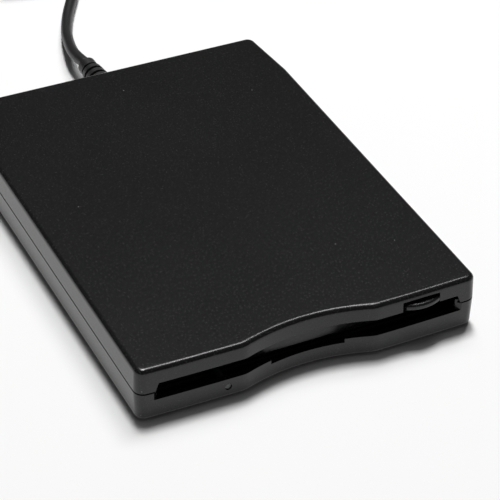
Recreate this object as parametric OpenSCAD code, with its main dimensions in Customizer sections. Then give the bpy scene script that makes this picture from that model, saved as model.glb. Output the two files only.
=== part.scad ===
// External floppy drive: a flat two-shell case, open at the front slot, with its drive inside and a captive lead.
// X runs to the right, Y to the back and Z up. The feet stand on z = 0.
// At rest there is no disk in it: the button is in, the disk carrier is up and the heads are at track 0.

/* [Body] */
// Room on each side of the disk, with the wall
side_room = 6.5; // [6.5:0.25:14]
// Room behind the stepper motor, with the rear wall
rear_room = 6.3; // [6.3:0.1:28]
// Height of the case with its feet
body_h = 17; // [17:0.1:21]
// Thickness of the side, front and rear walls
wall = 1.6; // [1.2:0.1:1.8]
// Thickness of the case floor
floor_t = 1.2; // [1:0.1:1.6]
// Thickness of the case roof
roof_t = 1.3; // [1:0.1:1.6]
// Radius of the two front corners in plan
corner_r = 3; // [2:0.1:5]
// Radius of the two rear corners in plan
rear_corner_r = 2.8; // [2:0.1:5]
// How far each side draws in towards the rear
rear_taper = 2; // [0.5:0.1:3]
// Length over which the sides draw in
taper_l = 22; // [12:1:30]
// How far each wall leans in from the joint line to the roof
draft = 0.25; // [0.1:0.05:0.4]
// Radius of the round along the top edge
top_round = 1.5; // [0.8:0.1:2]
// Radius of the round along the bottom edge
bottom_round = 0.8; // [0.4:0.1:1]
// Height of the joint line between the two shells
joint_z = 9.1; // [8.6:0.1:10]
// Open groove between the two shells
joint_gap = 0.45; // [0.2:0.05:0.6]

/* [Front] */
// How far the hollow in the middle of the front is set back
dish_depth = 3.4; // [2:0.1:5]
// Radius of the hollow
dish_r = 58; // [50:1:80]
// Radius that blends the hollow into the flanks
lip_r = 8; // [5:0.5:12]
// How far the flanks fall back towards the corners
flank_bow = 0.5; // [0.2:0.1:1]

/* [Slot] */
// Height of the slot's lower edge
slot_z = 6.7; // [6.2:0.1:7]
// Height of the slot
slot_h = 5.4; // [5.2:0.1:5.8]
// Spare width of the slot on each side of the disk
slot_side = 0.25; // [0.2:0.05:0.6]
// How much further each end of the slot opens at the outer face of the lower shell
slot_flare = 2.2; // [1:0.1:2.4]
// How far each end of the slot leans out towards the joint line in the upper shell
slot_lean = 1; // [0.1:0.1:1.4]
// Width of the dip in the middle of the lower lip
dip_w = 22.4; // [16:0.2:28]
// Depth of that dip
dip_h = 1.3; // [0.6:0.1:2]

/* [Disk that it takes] */
// Width of the disk
disk_w = 90; // [90:0.1:90.4]
// Length of the disk
disk_l = 94; // [94:0.1:94.6]
// Thickness of the disk
disk_t = 3.3; // [3.2:0.1:3.4]
// How far the carrier sinks as the disk loads
load_drop = 2.4; // [2:0.1:2.5]

/* [Button] */
// Width of the eject button
button_w = 10.4; // [9:0.2:12]
// Height of its visible face
button_h = 2; // [1.6:0.1:2.4]
// Place of its middle to the right of the centre
button_x = 34; // [30:0.2:35]
// How far its middle stands out past the front of the case
button_proud = 1.2; // [0.6:0.1:1.8]
// Round along its upper and lower front edges
button_round = 0.8; // [0.3:0.1:0.8]
// Its travel
button_travel = 4.5; // [3.5:0.1:4.8]

/* [Feet] */
// Diameter of a foot
foot_d = 9; // [7:0.5:12]
// Thickness of a foot
foot_t = 0.9; // [0.7:0.1:1.2]
// Depth of its recess in the floor
foot_recess = 0.3; // [0.2:0.1:0.5]

/* [Cord] */
// Diameter of the cord
cord_d = 3.8; // [3.4:0.1:4.2]
// Height of the cord's exit
cord_z = 7.4; // [7.2:0.1:7.8]
// Length of the strain relief outside the case
relief_l = 19.4; // [19.4:0.1:19.6]
// Diameter of the strain relief at the case
relief_d = 9.4; // [8.4:0.1:10]

/* [Hidden] */

// Gaps between pieces: a cut's overrun, a seat, a running fit and a free gap
cut = 1;
seat_gap = 0.02;
run_gap = 0.03;
free_gap = 0.35;
round_fn = 48;
fine_fn = 96;

// What sets the depth of the case: the disk, its reach into the front, the head carriage and the stepper motor
disk_reach = 0.5;
carriage_gap = 3.4;
tracks = 80;
track_pitch = 0.1875;
head_travel = (tracks - 1) * track_pitch;
carriage_l = 9.6;
stepper_gap = 1.4;
stepper_l = 12;

// Case, worked out from the driving sizes
body_w = disk_w + 2 * side_room;
body_l = disk_reach + disk_l + carriage_gap + head_travel + carriage_l + stepper_gap + stepper_l + rear_room;
foot_stand = foot_t - foot_recess;
floor_z = foot_stand + floor_t;
roof_z = body_h - roof_t;
front_y = -(body_l + button_proud) / 2 + button_proud;
rear_y = front_y + body_l;
half_w = body_w / 2;
top_z0 = joint_z + joint_gap;
tongue_h = 1;
tongue_t = 0.65;
slot_top_z = slot_z + slot_h;
slot_half = disk_w / 2 + slot_side;
inner_front_y = front_y + wall;
dish_y = front_y + dish_depth;
dish_inner_y = dish_y + wall;
rear_inner_y = rear_y - wall;

// Plan outline, by half: each stretch is an arc with its centre, radius and two angles, or a corner point
lip_x = sqrt(2 * dish_depth * (dish_r + lip_r) - pow(dish_depth, 2));
lip_turn = asin(lip_x / (dish_r + lip_r));
bow_run = half_w - lip_x;
bow_r = (pow(bow_run, 2) + pow(flank_bow, 2)) / (2 * flank_bow);
corner_x = half_w - corner_r;
corner_back = bow_r - sqrt(pow(bow_r - corner_r, 2) - pow(corner_x - lip_x, 2));
bow_turn = asin((corner_x - lip_x) / (bow_r - corner_r));
taper_turn = atan(rear_taper / taper_l);
taper_y = rear_y - taper_l;
kink_r = 16;
kink_run = kink_r * tan(taper_turn / 2);
rear_x = half_w - rear_taper;
rear_corner_x = rear_x - rear_corner_r / cos(taper_turn) + rear_corner_r * tan(taper_turn);

// A point on an arc that bulges outwards, drawn in by an inset; the angle is measured from +X
function bulge(c, r, a, inset) = c + (r - inset) * [cos(a), sin(a)];
// A point on an arc that is hollowed, drawn in by an inset
function hollow(c, r, a, inset) = c + (r + inset) * [cos(a), sin(a)];
function steps(n) = [for (i = [0:n]) i / n];

function half_outline(inset) = concat(
    [for (s = steps(7)) hollow([0, front_y + dish_depth - dish_r], dish_r, 90 - s * lip_turn, inset)],
    [for (s = steps(4)) if (s > 0)
        bulge([lip_x, front_y + lip_r], lip_r, -90 - lip_turn * (1 - s), inset)],
    [for (s = steps(4)) if (s > 0) bulge([lip_x, front_y + bow_r], bow_r, -90 + s * bow_turn, inset)],
    [for (s = steps(6)) if (s > 0) bulge([corner_x, front_y + corner_back], corner_r,
        -90 + bow_turn + s * (90 - bow_turn), inset)],
    [for (s = steps(2)) bulge([half_w - kink_r, taper_y - kink_run], kink_r, s * taper_turn, inset)],
    [for (s = steps(6)) bulge([rear_corner_x, rear_y - rear_corner_r], rear_corner_r,
        taper_turn + s * (90 - taper_turn), inset)]);

function outline(inset) = let (half = half_outline(inset), n = len(half))
    concat(half, [for (i = [n - 1:-1:1]) [-half[i].x, half[i].y]]);

// A solid between rings of the outline, each given as [inset, height] from the bottom up, with ends fanned out
// from their middles, because the outline is hollow at the front
module loft(rings) {
    n = len(outline(0));
    m = len(rings);
    middle = (front_y + rear_y) / 2;
    points = concat([for (r = rings) for (p = outline(r[0])) [p.x, p.y, r[1]]],
        [for (r = [rings[0], rings[m - 1]]) [0, middle, r[1]]]);
    sides = [for (k = [0:m - 2]) for (i = [0:n - 1]) for (t = [0, 1])
        let (j = (i + 1) % n, a = k * n + i, b = k * n + j, c = a + n, d = b + n)
        t == 0 ? [a, c, b] : [b, c, d]];
    ends = [for (i = [0:n - 1]) let (j = (i + 1) % n, top = (m - 1) * n)
        each [[m * n, i, j], [m * n + 1, top + j, top + i]]];
    polyhedron(points, concat(sides, ends));
}

// Inset of the outer face of the upper shell at a height
function lean(z) = draft * (z - top_z0) / (body_h - top_z0);

module block(a, b) {
    translate(a) cube(b - a);
}

module rod_x(r, x0, x1) {
    translate([x0, 0, 0]) rotate([0, 90, 0]) cylinder(r = r, h = x1 - x0, $fn = round_fn);
}

module rod_y(r, y0, y1) {
    translate([0, y1, 0]) rotate([90, 0, 0]) cylinder(r = r, h = y1 - y0, $fn = round_fn);
}

module rod_z(r, z0, z1) {
    translate([0, 0, z0]) cylinder(r = r, h = z1 - z0, $fn = round_fn);
}

module ring_z(r, bore, z0, z1) {
    difference() {
        rod_z(r, z0, z1);
        rod_z(bore, z0 - cut, z1 + cut);
    }
}

// A rectangle with round corners, given by two of its corners
module rounded(a, b, r) {
    translate(a + [r, 0]) square([b.x - a.x - 2 * r, b.y - a.y]);
    translate(a + [0, r]) square([b.x - a.x, b.y - a.y - 2 * r]);
    for (x = [a.x + r, b.x - r], y = [a.y + r, b.y - r]) translate([x, y]) circle(r, $fn = round_fn);
}

module both_sides() {
    children();
    mirror([1, 0, 0]) children();
}

// A tube along a list of points, with one ring of sides at each point
function unit(v) = v / norm(v);
function heading(p, i) = unit(p[min(i + 1, len(p) - 1)] - p[max(i - 1, 0)]);
function across(h) = unit(cross(h, abs(h.x) < abs(h.z) ? [1, 0, 0] : [0, 0, 1]));
function ring_at(c, h, a, r, sides) = let (b = cross(a, h))
    [for (k = [0:sides - 1]) c + r * (cos(k * 360 / sides) * a + sin(k * 360 / sides) * b)];

// Each ring's first side is the last ring's, squared to the new heading, so the tube never twists
module tube(path, r, sides) {
    n = len(path);
    firsts = [for (i = 0, a = across(heading(path, 0)); i < n; i = i + 1,
        a = let (h = heading(path, min(i, n - 1))) unit(a - (a * h) * h)) a];
    points = [for (i = [0:n - 1]) each ring_at(path[i], heading(path, i), firsts[i], r, sides)];
    walls = [for (i = [0:n - 2]) for (k = [0:sides - 1]) for (t = [0, 1])
        let (j = (k + 1) % sides, a = i * sides + k, b = i * sides + j, c = a + sides, d = b + sides)
        t == 0 ? [a, b, c] : [b, d, c]];
    ends = concat([[for (k = [sides - 1:-1:0]) k]], [[for (k = [0:sides - 1]) (n - 1) * sides + k]]);
    polyhedron(points, concat(ends, walls));
}

// Case screws, their bosses and the places of both
screw_r = 0.85;
screw_head_r = 1.6;
screw_head_h = 0.9;
screw_sink = 0.15;
screw_l = 8;
screw_clear = 0.15;
cross_w = 0.4;
cross_h = 0.4;
boss_r = 1.9;
low_boss_r = 2.3;
low_boss_h = 1.6;
boss_top_z = floor_z + low_boss_h;
front_boss_out = 2.4;
front_boss_x = disk_w / 2 + front_boss_out;
front_boss_back = 8.9;
rear_boss_in = 6.7;
rear_boss_back = 5.6;
rear_boss_x = half_w - rear_boss_in;
front_boss_y = front_y + front_boss_back;
rear_boss_y = rear_y - rear_boss_back;
boss_places = [[front_boss_x, front_boss_y], [-front_boss_x, front_boss_y],
    [rear_boss_x, rear_boss_y], [-rear_boss_x, rear_boss_y]];

// Feet
foot_in = 15;
foot_places = [for (x = [-half_w + foot_in, half_w - foot_in], y = [front_y + foot_in, rear_y - foot_in]) [x, y]];

// Lamp window in the lower shell
lamp_x = -25;
lamp_drop = 2.85;
lamp_z = slot_z - lamp_drop;
lamp_hole_r = 1;
lamp_pipe_r = 0.85;

// Disk, raised in the middle of the slot
disk_z = slot_z + (slot_h - disk_t) / 2;
disk_top_z = disk_z + disk_t;
disk_lead_y = front_y + disk_reach + disk_l;
hub_back = 45;
hub_y = disk_lead_y - hub_back;
loaded_z = disk_z - load_drop;
loaded_top_z = disk_top_z - load_drop;

// Dust flap, hung from two lugs behind the upper front wall
flap_t = 0.8;
flap_pin_r = 0.6;
flap_barrel_r = 0.75;
flap_gap = 0.5;
flap_y = dish_inner_y + flap_gap + flap_t / 2;
flap_rise = 0.05;
flap_z = slot_top_z + flap_barrel_r + flap_rise;
flap_lift = 0.4;
flap_low_z = slot_z + flap_lift;
flap_l = flap_z - flap_low_z;
flap_half = slot_half - free_gap;
lug_t = 1.2;
lug_r = 1.6;
lug_x = flap_half + free_gap;

// Sheet-metal thicknesses and the levels of the mechanism
sheet = 0.6;
chassis_t = 0.8;
chassis_seat = 0.4;
chassis_z = floor_z + chassis_seat;
chassis_top = chassis_z + chassis_t;
carrier_play = 0.3;
carrier_lip_w = 3.5;
carrier_half = disk_w / 2 + carrier_play;
carrier_out = carrier_half + sheet;
carrier_sag = 0.1;
carrier_low_z = disk_z - carrier_sag - sheet;
carrier_top_z = disk_top_z + carrier_play;
carrier_front_y = flap_y + flap_l + 3 * free_gap;
slide_z = carrier_top_z + sheet + free_gap + run_gap;
slide_in = carrier_out + free_gap;
slide_out = slide_in + sheet;
chassis_in = slide_out + free_gap;
chassis_out = chassis_in + chassis_t;
chassis_step = 5.5;
chassis_narrow = chassis_out - chassis_step;
board_edge = 1;
board_half_out = chassis_narrow - board_edge;
cover_z = slide_z + sheet + free_gap;
cover_t = 0.5;

// Carrier pins, the slanted slots of the slide plate and the upright slots of the chassis
pin_r = 1;
pin_play = 0.15;
pin_z = (carrier_low_z + carrier_top_z + sheet) / 2;
pin_end = 0.5;
front_pin_back = 25.4;
rear_pin_ahead = 12.1;
pin_ys = [front_y + front_pin_back, disk_lead_y - rear_pin_ahead];
flange_margin = 2.4;
flange_low_z = pin_z - load_drop - pin_r - pin_play - flange_margin / 2;
flange_y0 = pin_ys[0] - pin_r - flange_margin;
flange_y1 = pin_ys[1] + button_travel + pin_r + flange_margin;
wall_y0 = flange_y0 - button_travel - free_gap;
wall_y1 = flange_y1 + free_gap;

// Tab that carries the button over the flap
tab_w = 5;
tab_gap = 0.45;
tab_z = flap_z + flap_barrel_r + tab_gap;
tab_step_y = flap_y + flap_l + button_travel + 2 * free_gap;
button_seat = 2.4;
button_back_y = flap_y - flap_barrel_r - 2 * free_gap;
button_drop_gap = 0.05;
button_low_z = slot_top_z + button_drop_gap;
button_top_z = button_low_z + button_h;
button_boss_w = 7;
button_boss_cap = 0.25;
button_boss_z = tab_z + sheet + button_boss_cap;
notch_gap = 0.25;
notch_left_gap = 1;
notch_h = 3.1;

// Eject springs, in windows of the slide plate and of the cover
spring_x = 30;
spring_r = 0.85;
spring_wire_r = 0.16;
spring_turns = 12;
spring_l = 18;
spring_y1 = hub_y + hub_back / 2;
spring_y0 = spring_y1 - spring_l;
spring_z = slide_z + sheet + free_gap / 2;
spring_window = spring_r + spring_wire_r + free_gap;
spring_hook_w = 1.6;
spring_stub = 1;

// Latch lever that the disk's leading edge turns
lever_in = 3.5;
lever_x = lever_in - board_half_out;
lever_back = 7.9;
lever_y = disk_lead_y + lever_back;
lever_l = 22;
lever_rest = -60;
lever_t = sheet;
lever_pin_r = 1.5;
lever_post_r = 2;
lever_neck_r = 1.2;
lever_hub_r = 3.2;
lever_z = slide_z;
lever_tip_gap = 0.3;
lever_tip_z = loaded_z + lever_tip_gap;

// Spindle motor
motor_r = 23.4;
motor_t = 0.7;
motor_lug_r = 29;
motor_lug_in = 21;
motor_lug_w = 8;
motor_lug_t = 0.5;
winding_r = 2.6;
winding_bore = 1;
winding_h = 0.6;
winding_ring_r = 14.4;
winding_count = 12;
bearing_r = 2.8;
shaft_r = 1;
rotor_r = 20.4;
rotor_t = 0.6;
rotor_top_z = loaded_z - free_gap;
magnet_r = 19.6;
magnet_bore = 9.4;
magnet_t = 0.6;
chuck_r = 12.5;
chuck_h = 0.5;
centre_pin_r = 1.95;
centre_pin_h = 2.1;
drive_pin_r = 1.1;
drive_pin_h = 1.4;
drive_pin_place = 9.6;

// Heads: track 0 is the outer track, and the other end of the travel is track 79
track0_r = 39.5;
head_y = hub_y + track0_r;
head_half = 2;
medium_z = loaded_z + disk_t / 2;
arm_base_t = 1.2;
arm_low_z = loaded_z - free_gap - arm_base_t;
arm_half = 6.4;
carriage_y = disk_lead_y + carriage_gap + head_travel;
carriage_end_y = carriage_y + carriage_l;
carriage_top_z = loaded_top_z;
rod_place = -10;
rod_lift = 2.7;
rod_axis_z = chassis_top + rod_lift;
rod_r = 1.25;
bush_wall = 1;
arm_pin_r = 0.6;
arm_pin_back = 5;
arm_pin_y = carriage_y + arm_pin_back;
arm_t = 0.8;
arm_under_z = loaded_top_z + free_gap;
arm_pin_z = arm_under_z + arm_t / 2;
arm_lift = 9;
arm_nose = 2;
ear_t = 1.2;
upper_half = 5.4;
ear_x = upper_half + free_gap;

// Stepper motor and its lead screw
screw_x = 10;
stepper_r = 5.4;
stepper_y = carriage_end_y + stepper_gap;
stepper_z = chassis_top + stepper_r + seat_gap;
lead_r = 1.5;
lead_pitch = 3.75;
groove_r = 0.5;
journal_r = 0.8;
bracket_t = 1;
bracket_gap = 0.5;
bracket_y = disk_lead_y + bracket_gap;
bracket_half = 2.6;
lead_y0 = bracket_y + bracket_t + free_gap;

// Boards on posts, left and right of the heads
board_t = 1;
board_lift = 1.2;
board_z = chassis_top + board_lift;
board_ahead = 5.4;
board_y0 = disk_lead_y + board_ahead;
board_l = 30;
main_in = 15.5;
usb_in = 21;
post_r = 1.8;
board_places = [for (x = [-board_half_out + post_r, -main_in - post_r, usb_in + post_r, board_half_out - post_r])
    for (y = [abs(x) > board_half_out - 2 * post_r ? board_y0 + board_l / 2 : board_y0 + post_r, board_y0 + board_l - post_r]) [x, y]];
chip_h = 1.4;
chassis_rear_in = 4;
chassis_rear_y = rear_inner_y - chassis_rear_in;
chassis_front_in = 10.4;
chassis_front_y = front_y + chassis_front_in;
stand_x = board_half_out - lever_in;
stand_back = 12;
stand_y = disk_lead_y + stand_back;

// Drive screws, from below into extruded holes of the chassis
drive_front_x = 12;
drive_front_in = 15.4;
drive_left_x = -24;
drive_left_in = 8.2;
drive_right_x = 26;
drive_right_in = 7.2;
drive_places = [[drive_front_x, front_y + drive_front_in], [-drive_front_x, front_y + drive_front_in],
    [drive_left_x, rear_y - drive_left_in], [drive_right_x, rear_y - drive_right_in]];
bush_r = 1.9;
bush_h = 1.5;

// Sense switches under the disk's trailing corners and beside its leading edge
switch_w = 5;
switch_l = 4;
switch_h = 1.4;
plunger_r = 0.8;
plunger_travel = 0.8;
plunger_stand = 0.6;
plunger_top_z = loaded_z + plunger_stand;
switch_x = 38.4;
switch_ahead = 17.4;
disk_in_x = 24;
disk_in_back = 8;
switch_places = [[-switch_x, front_y + switch_ahead], [switch_x, front_y + switch_ahead],
    [disk_in_x, disk_lead_y - disk_in_back]];

// Strain relief, cord and plug
cord_r = cord_d / 2;
relief_groove = 1.3;
relief_neck_r = relief_d / 2 - relief_groove;
relief_flange_t = 1.6;
relief_flange_in = wall + draft + seat_gap;
relief_ring_count = 5;
relief_core_share = 0.72;
relief_ring_share = 0.6;
relief_step_share = 0.7;
relief_end_r = 3;

// Cord's route on the table behind the case, from the strain relief to the coil, and from the coil to the plug
lead_route = [[0, 91, 7.4], [0, 93, 7.4], [-0.4, 96.5, 7.1], [-0.4, 101, 6.5], [0.4, 106, 5.7], [1.6, 111, 4.9],
    [3.3, 117, 4.1], [5.6, 123, 3.3], [8.1, 128.7, 2.8], [10.9, 134.2, 2.6], [14.1, 139.8, 2.6],
    [17.3, 145.6, 2.6], [20.6, 151.6, 2.6], [23.8, 157.5, 2.6], [26.7, 162.7, 2.6]];
tail_route = [[24.9, 197.4, 6.8], [22.4, 201.6, 6.2], [18.9, 205.9, 5.4], [14.2, 209.7, 4.7], [8.8, 212.4, 4.2],
    [4.5, 213.4, 4], [2, 213.5, 4], [0, 213.5, 4]];

// Coil: two layers of turns, in and out again, climbing in the half turn where the spiral reverses
coil_mean_r = 22;
coil_turns = 3.16;
coil_step = 4.4;
coil_layer = 4.4;
coil_start = -29;
coil_rings = 24;
lead_end = lead_route[len(lead_route) - 1];
coil_span = coil_turns * 360;
coil_draw = coil_step * coil_turns / 2;
coil_out_r = coil_mean_r + coil_draw / 2;
coil_in_r = coil_mean_r - coil_draw / 2;
function turn_dir(a) = [-sin(a), cos(a), 0];
function turn_arm(a) = [cos(a), sin(a), 0];
coil_centre = lead_end + cord_d * turn_dir(coil_start) - coil_out_r * turn_arm(coil_start);
// How far the turns lie from the reversal, in degrees, sets their radius; the climb is eased over the half turn
function coil_r(a) = coil_in_r + coil_step * abs(a - coil_span / 2) / 360;
function coil_climb(a) = let (t = a - coil_span / 2) t < -90 ? 0 : t > 90 ? 1 : (1 + sin(t)) / 2;
function coil_point(a) = coil_centre + coil_r(a) * turn_arm(coil_start + a) + [0, 0, coil_layer * coil_climb(a)];
coil_count = floor(coil_turns * coil_rings);
coil_turning = [for (i = [0:coil_count]) coil_point(i * coil_span / coil_count)];
coil_tail = coil_point(coil_span) + cord_d * turn_dir(coil_start + coil_span);
coil_path = concat([lead_end], coil_turning, [coil_tail]);
coil_near = 8;
coil_gap = min([for (i = [0:coil_count]) for (j = [i + coil_near:1:coil_count])
    norm(coil_turning[i] - coil_turning[j])]) - cord_d;
echo(coil_gap = coil_gap);

// Tie round the turns
tie_at = 130;
tie_t = 0.5;
tie_w = 6;
tie_gap = 0.2;
tie_r0 = coil_in_r - cord_r - tie_gap;
tie_r1 = coil_out_r + cord_r + tie_gap;
tie_z0 = tie_t;
tie_z1 = lead_end.z + coil_layer + cord_r + tie_gap;
tie_round = 2;

// Plug on the end of the tail
plug_at = tail_route[len(tail_route) - 1];
grip_l = 26;
grip_w = 16;
grip_h = 8;
grip_round = 2;
grip_waist = 1;
grip_ribs = 4;
grip_rib_t = 1;
grip_rib_gap = 1.2;
neck_l = 8;
neck_r0 = 2.6;
neck_r1 = 3.4;
plug_w = 12;
plug_h = 4.5;
plug_l = 18.7;
plug_skin = 0.35;
plug_hole = 2.4;
plug_hole_in = 5.4;
plug_hole_gap = 2;
tongue_w = plug_w - 2 * plug_skin;
tongue_thick = 1.9;
tongue_back = 1;
contact_w = 1;
contact_pitch_share = [-0.29, -0.09, 0.09, 0.29];
contact_t = 0.15;
contact_l = 11;
contact_set = 1.5;

// A solid of the plan outline, drawn in by an inset
module prism(inset, z0, z1) {
    translate([0, 0, z0]) linear_extrude(z1 - z0) polygon(outline(inset));
}

// Room for the strain relief's neck in both rear walls
module relief_hole() {
    translate([0, 0, cord_z]) rod_y(relief_neck_r + seat_gap, rear_inner_y - cut, rear_y + cut);
}

module top_cover() color([0.13, 0.13, 0.13]) {
    round_z = body_h - top_round;
    difference() {
        union() {
            difference() {
                loft(concat([[0, top_z0], [lean(round_z), round_z]],
                    [for (s = steps(6)) if (s > 0) [lean(round_z) + top_round * (1 - cos(s * 90)),
                        round_z + top_round * sin(s * 90)]]));
                loft([[wall, top_z0 - cut], [wall + lean(roof_z), roof_z]]);
                prism(wall - tongue_t - run_gap, top_z0 - cut, joint_z + tongue_h + free_gap / 2);
            }
            for (p = boss_places) translate(p) rod_z(boss_r, boss_top_z + run_gap, roof_z + roof_t / 2);
            both_sides() flap_lug();
            cover_ribs();
        }
        for (p = boss_places) translate(p) rod_z(screw_r + seat_gap, boss_top_z - cut, screw_l + foot_stand + cut);
        both_sides() translate([0, flap_y, flap_z]) rod_x(flap_pin_r + run_gap, lug_x - cut, lug_x + lug_t + cut);
        slot_cut_above();
        block([button_x - button_w / 2 - notch_left_gap, front_y - cut, slot_top_z - cut],
            [button_x + button_w / 2 + notch_gap, inner_front_y + free_gap, slot_top_z + notch_h]);
        relief_hole();
    }
}

module flap_lug() {
    block([lug_x, flap_y - lug_r, flap_z], [lug_x + lug_t, flap_y + lug_r, roof_z + roof_t / 2]);
    translate([0, flap_y, flap_z]) rod_x(lug_r, lug_x, lug_x + lug_t);
}

// Two ribs under the roof, either side of the mechanism's cover
rib_h = 1.2;
rib_t = 0.9;
rib_x = 43;
rib_y0 = hub_y;
rib_y1 = disk_lead_y + stand_back;
module cover_ribs() {
    both_sides() block([rib_x, rib_y0, roof_z - rib_h], [rib_x + rib_t, rib_y1, roof_z + roof_t / 2]);
}

// The slot in the upper shell: its ends lean out towards the joint line
module slot_cut_above() {
    translate([0, dish_inner_y + free_gap, 0]) rotate([90, 0, 0]) linear_extrude(dish_inner_y + free_gap - front_y + cut)
        polygon([[-slot_half - slot_lean, joint_z - cut], [slot_half + slot_lean, joint_z - cut],
            [slot_half + slot_lean, top_z0], [slot_half, slot_top_z], [-slot_half, slot_top_z],
            [-slot_half - slot_lean, top_z0]]);
}

// The slot in the lower shell: its ends flare out towards the outer face
module slot_cut_below() {
    far = slot_half + slot_flare;
    translate([0, 0, slot_z]) linear_extrude(joint_z + tongue_h + cut - slot_z)
        polygon([[-far - cut, front_y - cut], [far + cut, front_y - cut], [slot_half, inner_front_y],
            [slot_half, dish_inner_y + free_gap], [-slot_half, dish_inner_y + free_gap],
            [-slot_half, inner_front_y]]);
    block([-dip_w / 2, front_y - cut, slot_z - dip_h], [dip_w / 2, dish_inner_y + free_gap, slot_z + cut]);
}

module bottom_cover() color([0.12, 0.12, 0.12]) difference() {
    union() {
        difference() {
            loft(concat([for (s = steps(4)) [draft + bottom_round * (1 - sin(s * 90)),
                foot_stand + bottom_round * (1 - cos(s * 90))]], [[0, joint_z]]));
            prism(wall + draft, floor_z, joint_z + cut);
        }
        difference() {
            prism(wall - tongue_t, joint_z - tongue_h, joint_z + tongue_h);
            prism(wall, joint_z - tongue_h - cut, joint_z + tongue_h + cut);
        }
        for (p = boss_places) translate(p) rod_z(low_boss_r, floor_z - floor_t / 2, boss_top_z);
        for (p = drive_places) translate(p) rod_z(2 * boss_r, floor_z - floor_t / 2, chassis_z);
    }
    for (p = concat(boss_places, drive_places)) translate(p) {
        rod_z(screw_head_r + screw_clear, foot_stand - cut, foot_stand + screw_sink + screw_head_h);
        rod_z(screw_r + screw_clear, foot_stand - cut, boss_top_z + cut);
    }
    for (p = foot_places) translate(p) rod_z(foot_d / 2 + seat_gap, foot_stand - cut, foot_t);
    slot_cut_below();
    translate([lamp_x, 0, lamp_z]) rod_y(lamp_hole_r, front_y - cut, inner_front_y + cut);
    relief_hole();
    block([-relief_neck_r - seat_gap, rear_inner_y - cut, cord_z],
        [relief_neck_r + seat_gap, rear_y + cut, joint_z + tongue_h + cut]);
}

// A cross-head screw, head down, with its head's face at z = 0
module screw(l) {
    difference() {
        union() {
            rod_z(screw_head_r, 0, screw_head_h);
            rod_z(screw_r, 0, l);
        }
        for (a = [0, 90]) rotate(a) block([-screw_head_r / 2, -cross_w / 2, -cut], [screw_head_r / 2, cross_w / 2, cross_h]);
    }
}

module case_screws() color([0.2, 0.2, 0.21]) {
    for (p = boss_places) translate([p.x, p.y, foot_stand + screw_sink]) screw(screw_l);
}

drive_screw_l = chassis_top + bush_h - foot_stand - screw_sink;
module drive_screws() color([0.6, 0.6, 0.62]) {
    for (p = drive_places) translate([p.x, p.y, foot_stand + screw_sink]) screw(drive_screw_l);
}

foot_chamfer = 0.3;
module rubber_feet() color([0.07, 0.07, 0.07]) {
    for (p = foot_places) translate(p) {
        cylinder(r1 = foot_d / 2 - foot_chamfer, r2 = foot_d / 2, h = foot_chamfer, $fn = round_fn);
        rod_z(foot_d / 2, foot_chamfer, foot_t);
    }
}

// Lamp: a light pipe in the front wall, the lamp behind it and the strip of board that carries it
pipe_sink = 0.6;
pipe_collar_r = 1.3;
pipe_collar_t = 0.8;
lamp_l = 2.6;
lamp_half = 1.3;
lamp_board_w = 12;
lamp_board_l = 6;
lamp_board_t = 0.6;
module light_pipe() color([0.55, 0.55, 0.55]) translate([lamp_x, 0, lamp_z]) {
    rod_y(lamp_pipe_r, front_y + pipe_sink, chassis_front_y - run_gap);
    translate([0, inner_front_y + draft + 2 * run_gap, 0]) rod_y(pipe_collar_r, 0, pipe_collar_t);
}

module lamp() color([0.8, 0.85, 0.7]) {
    block([lamp_x - lamp_half, chassis_front_y, chassis_top + lamp_board_t],
        [lamp_x + lamp_half, chassis_front_y + lamp_l, lamp_z + lamp_pipe_r]);
}

module lamp_board() color([0.1, 0.35, 0.2]) {
    block([lamp_x - lamp_board_w / 2, chassis_front_y, chassis_top],
        [lamp_x + lamp_board_w / 2, chassis_front_y + lamp_board_l, chassis_top + lamp_board_t]);
}

// Dust flap with its barrel and two end pins; the barrel is cut back at the left for its spring
flap_spring_l = 3;
flap_spring_drop = 1.4;
module dust_flap() color([0.16, 0.16, 0.16]) difference() {
    union() {
        block([-flap_half, flap_y - flap_t / 2, flap_low_z], [flap_half, flap_y + flap_t / 2, flap_z]);
        translate([0, flap_y, flap_z]) {
            rod_x(flap_barrel_r, -flap_half, flap_half);
            rod_x(flap_pin_r, -lug_x - lug_t, lug_x + lug_t);
        }
    }
    difference() {
        block([-flap_half - run_gap, flap_y - lug_r, flap_z - flap_spring_drop],
            [-flap_half + flap_spring_l, flap_y + lug_r, flap_z + lug_r]);
        translate([0, flap_y, flap_z]) rod_x(flap_pin_r, -lug_x - lug_t, lug_x + lug_t);
    }
}

// A helix of wire round X, with a start angle, and its points
function helix_x(x0, x1, r, turns, a0, n) = [for (i = [0:n])
    [x0 + (x1 - x0) * i / n, r * cos(a0 + turns * 360 * i / n), r * sin(a0 + turns * 360 * i / n)]];
wire_r = 0.1;
wind_steps = 8;
flap_wind_r = (flap_pin_r + wire_r + run_gap) / cos(180 / wind_steps);
flap_turns = 4;
flap_leg = 0.8;
wind_sides = 4;
module flap_spring() color([0.7, 0.7, 0.72]) translate([0, flap_y, flap_z]) {
    x0 = -flap_half + 3 * wire_r;
    x1 = -flap_half + flap_spring_l - 3 * wire_r;
    wound = helix_x(x0, x1, flap_wind_r, flap_turns, 0, flap_turns * wind_steps);
    tube(concat([[x0, flap_wind_r, flap_leg]], wound, [[x1, flap_wind_r, -flap_leg]]), wire_r, wind_sides);
}

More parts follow.
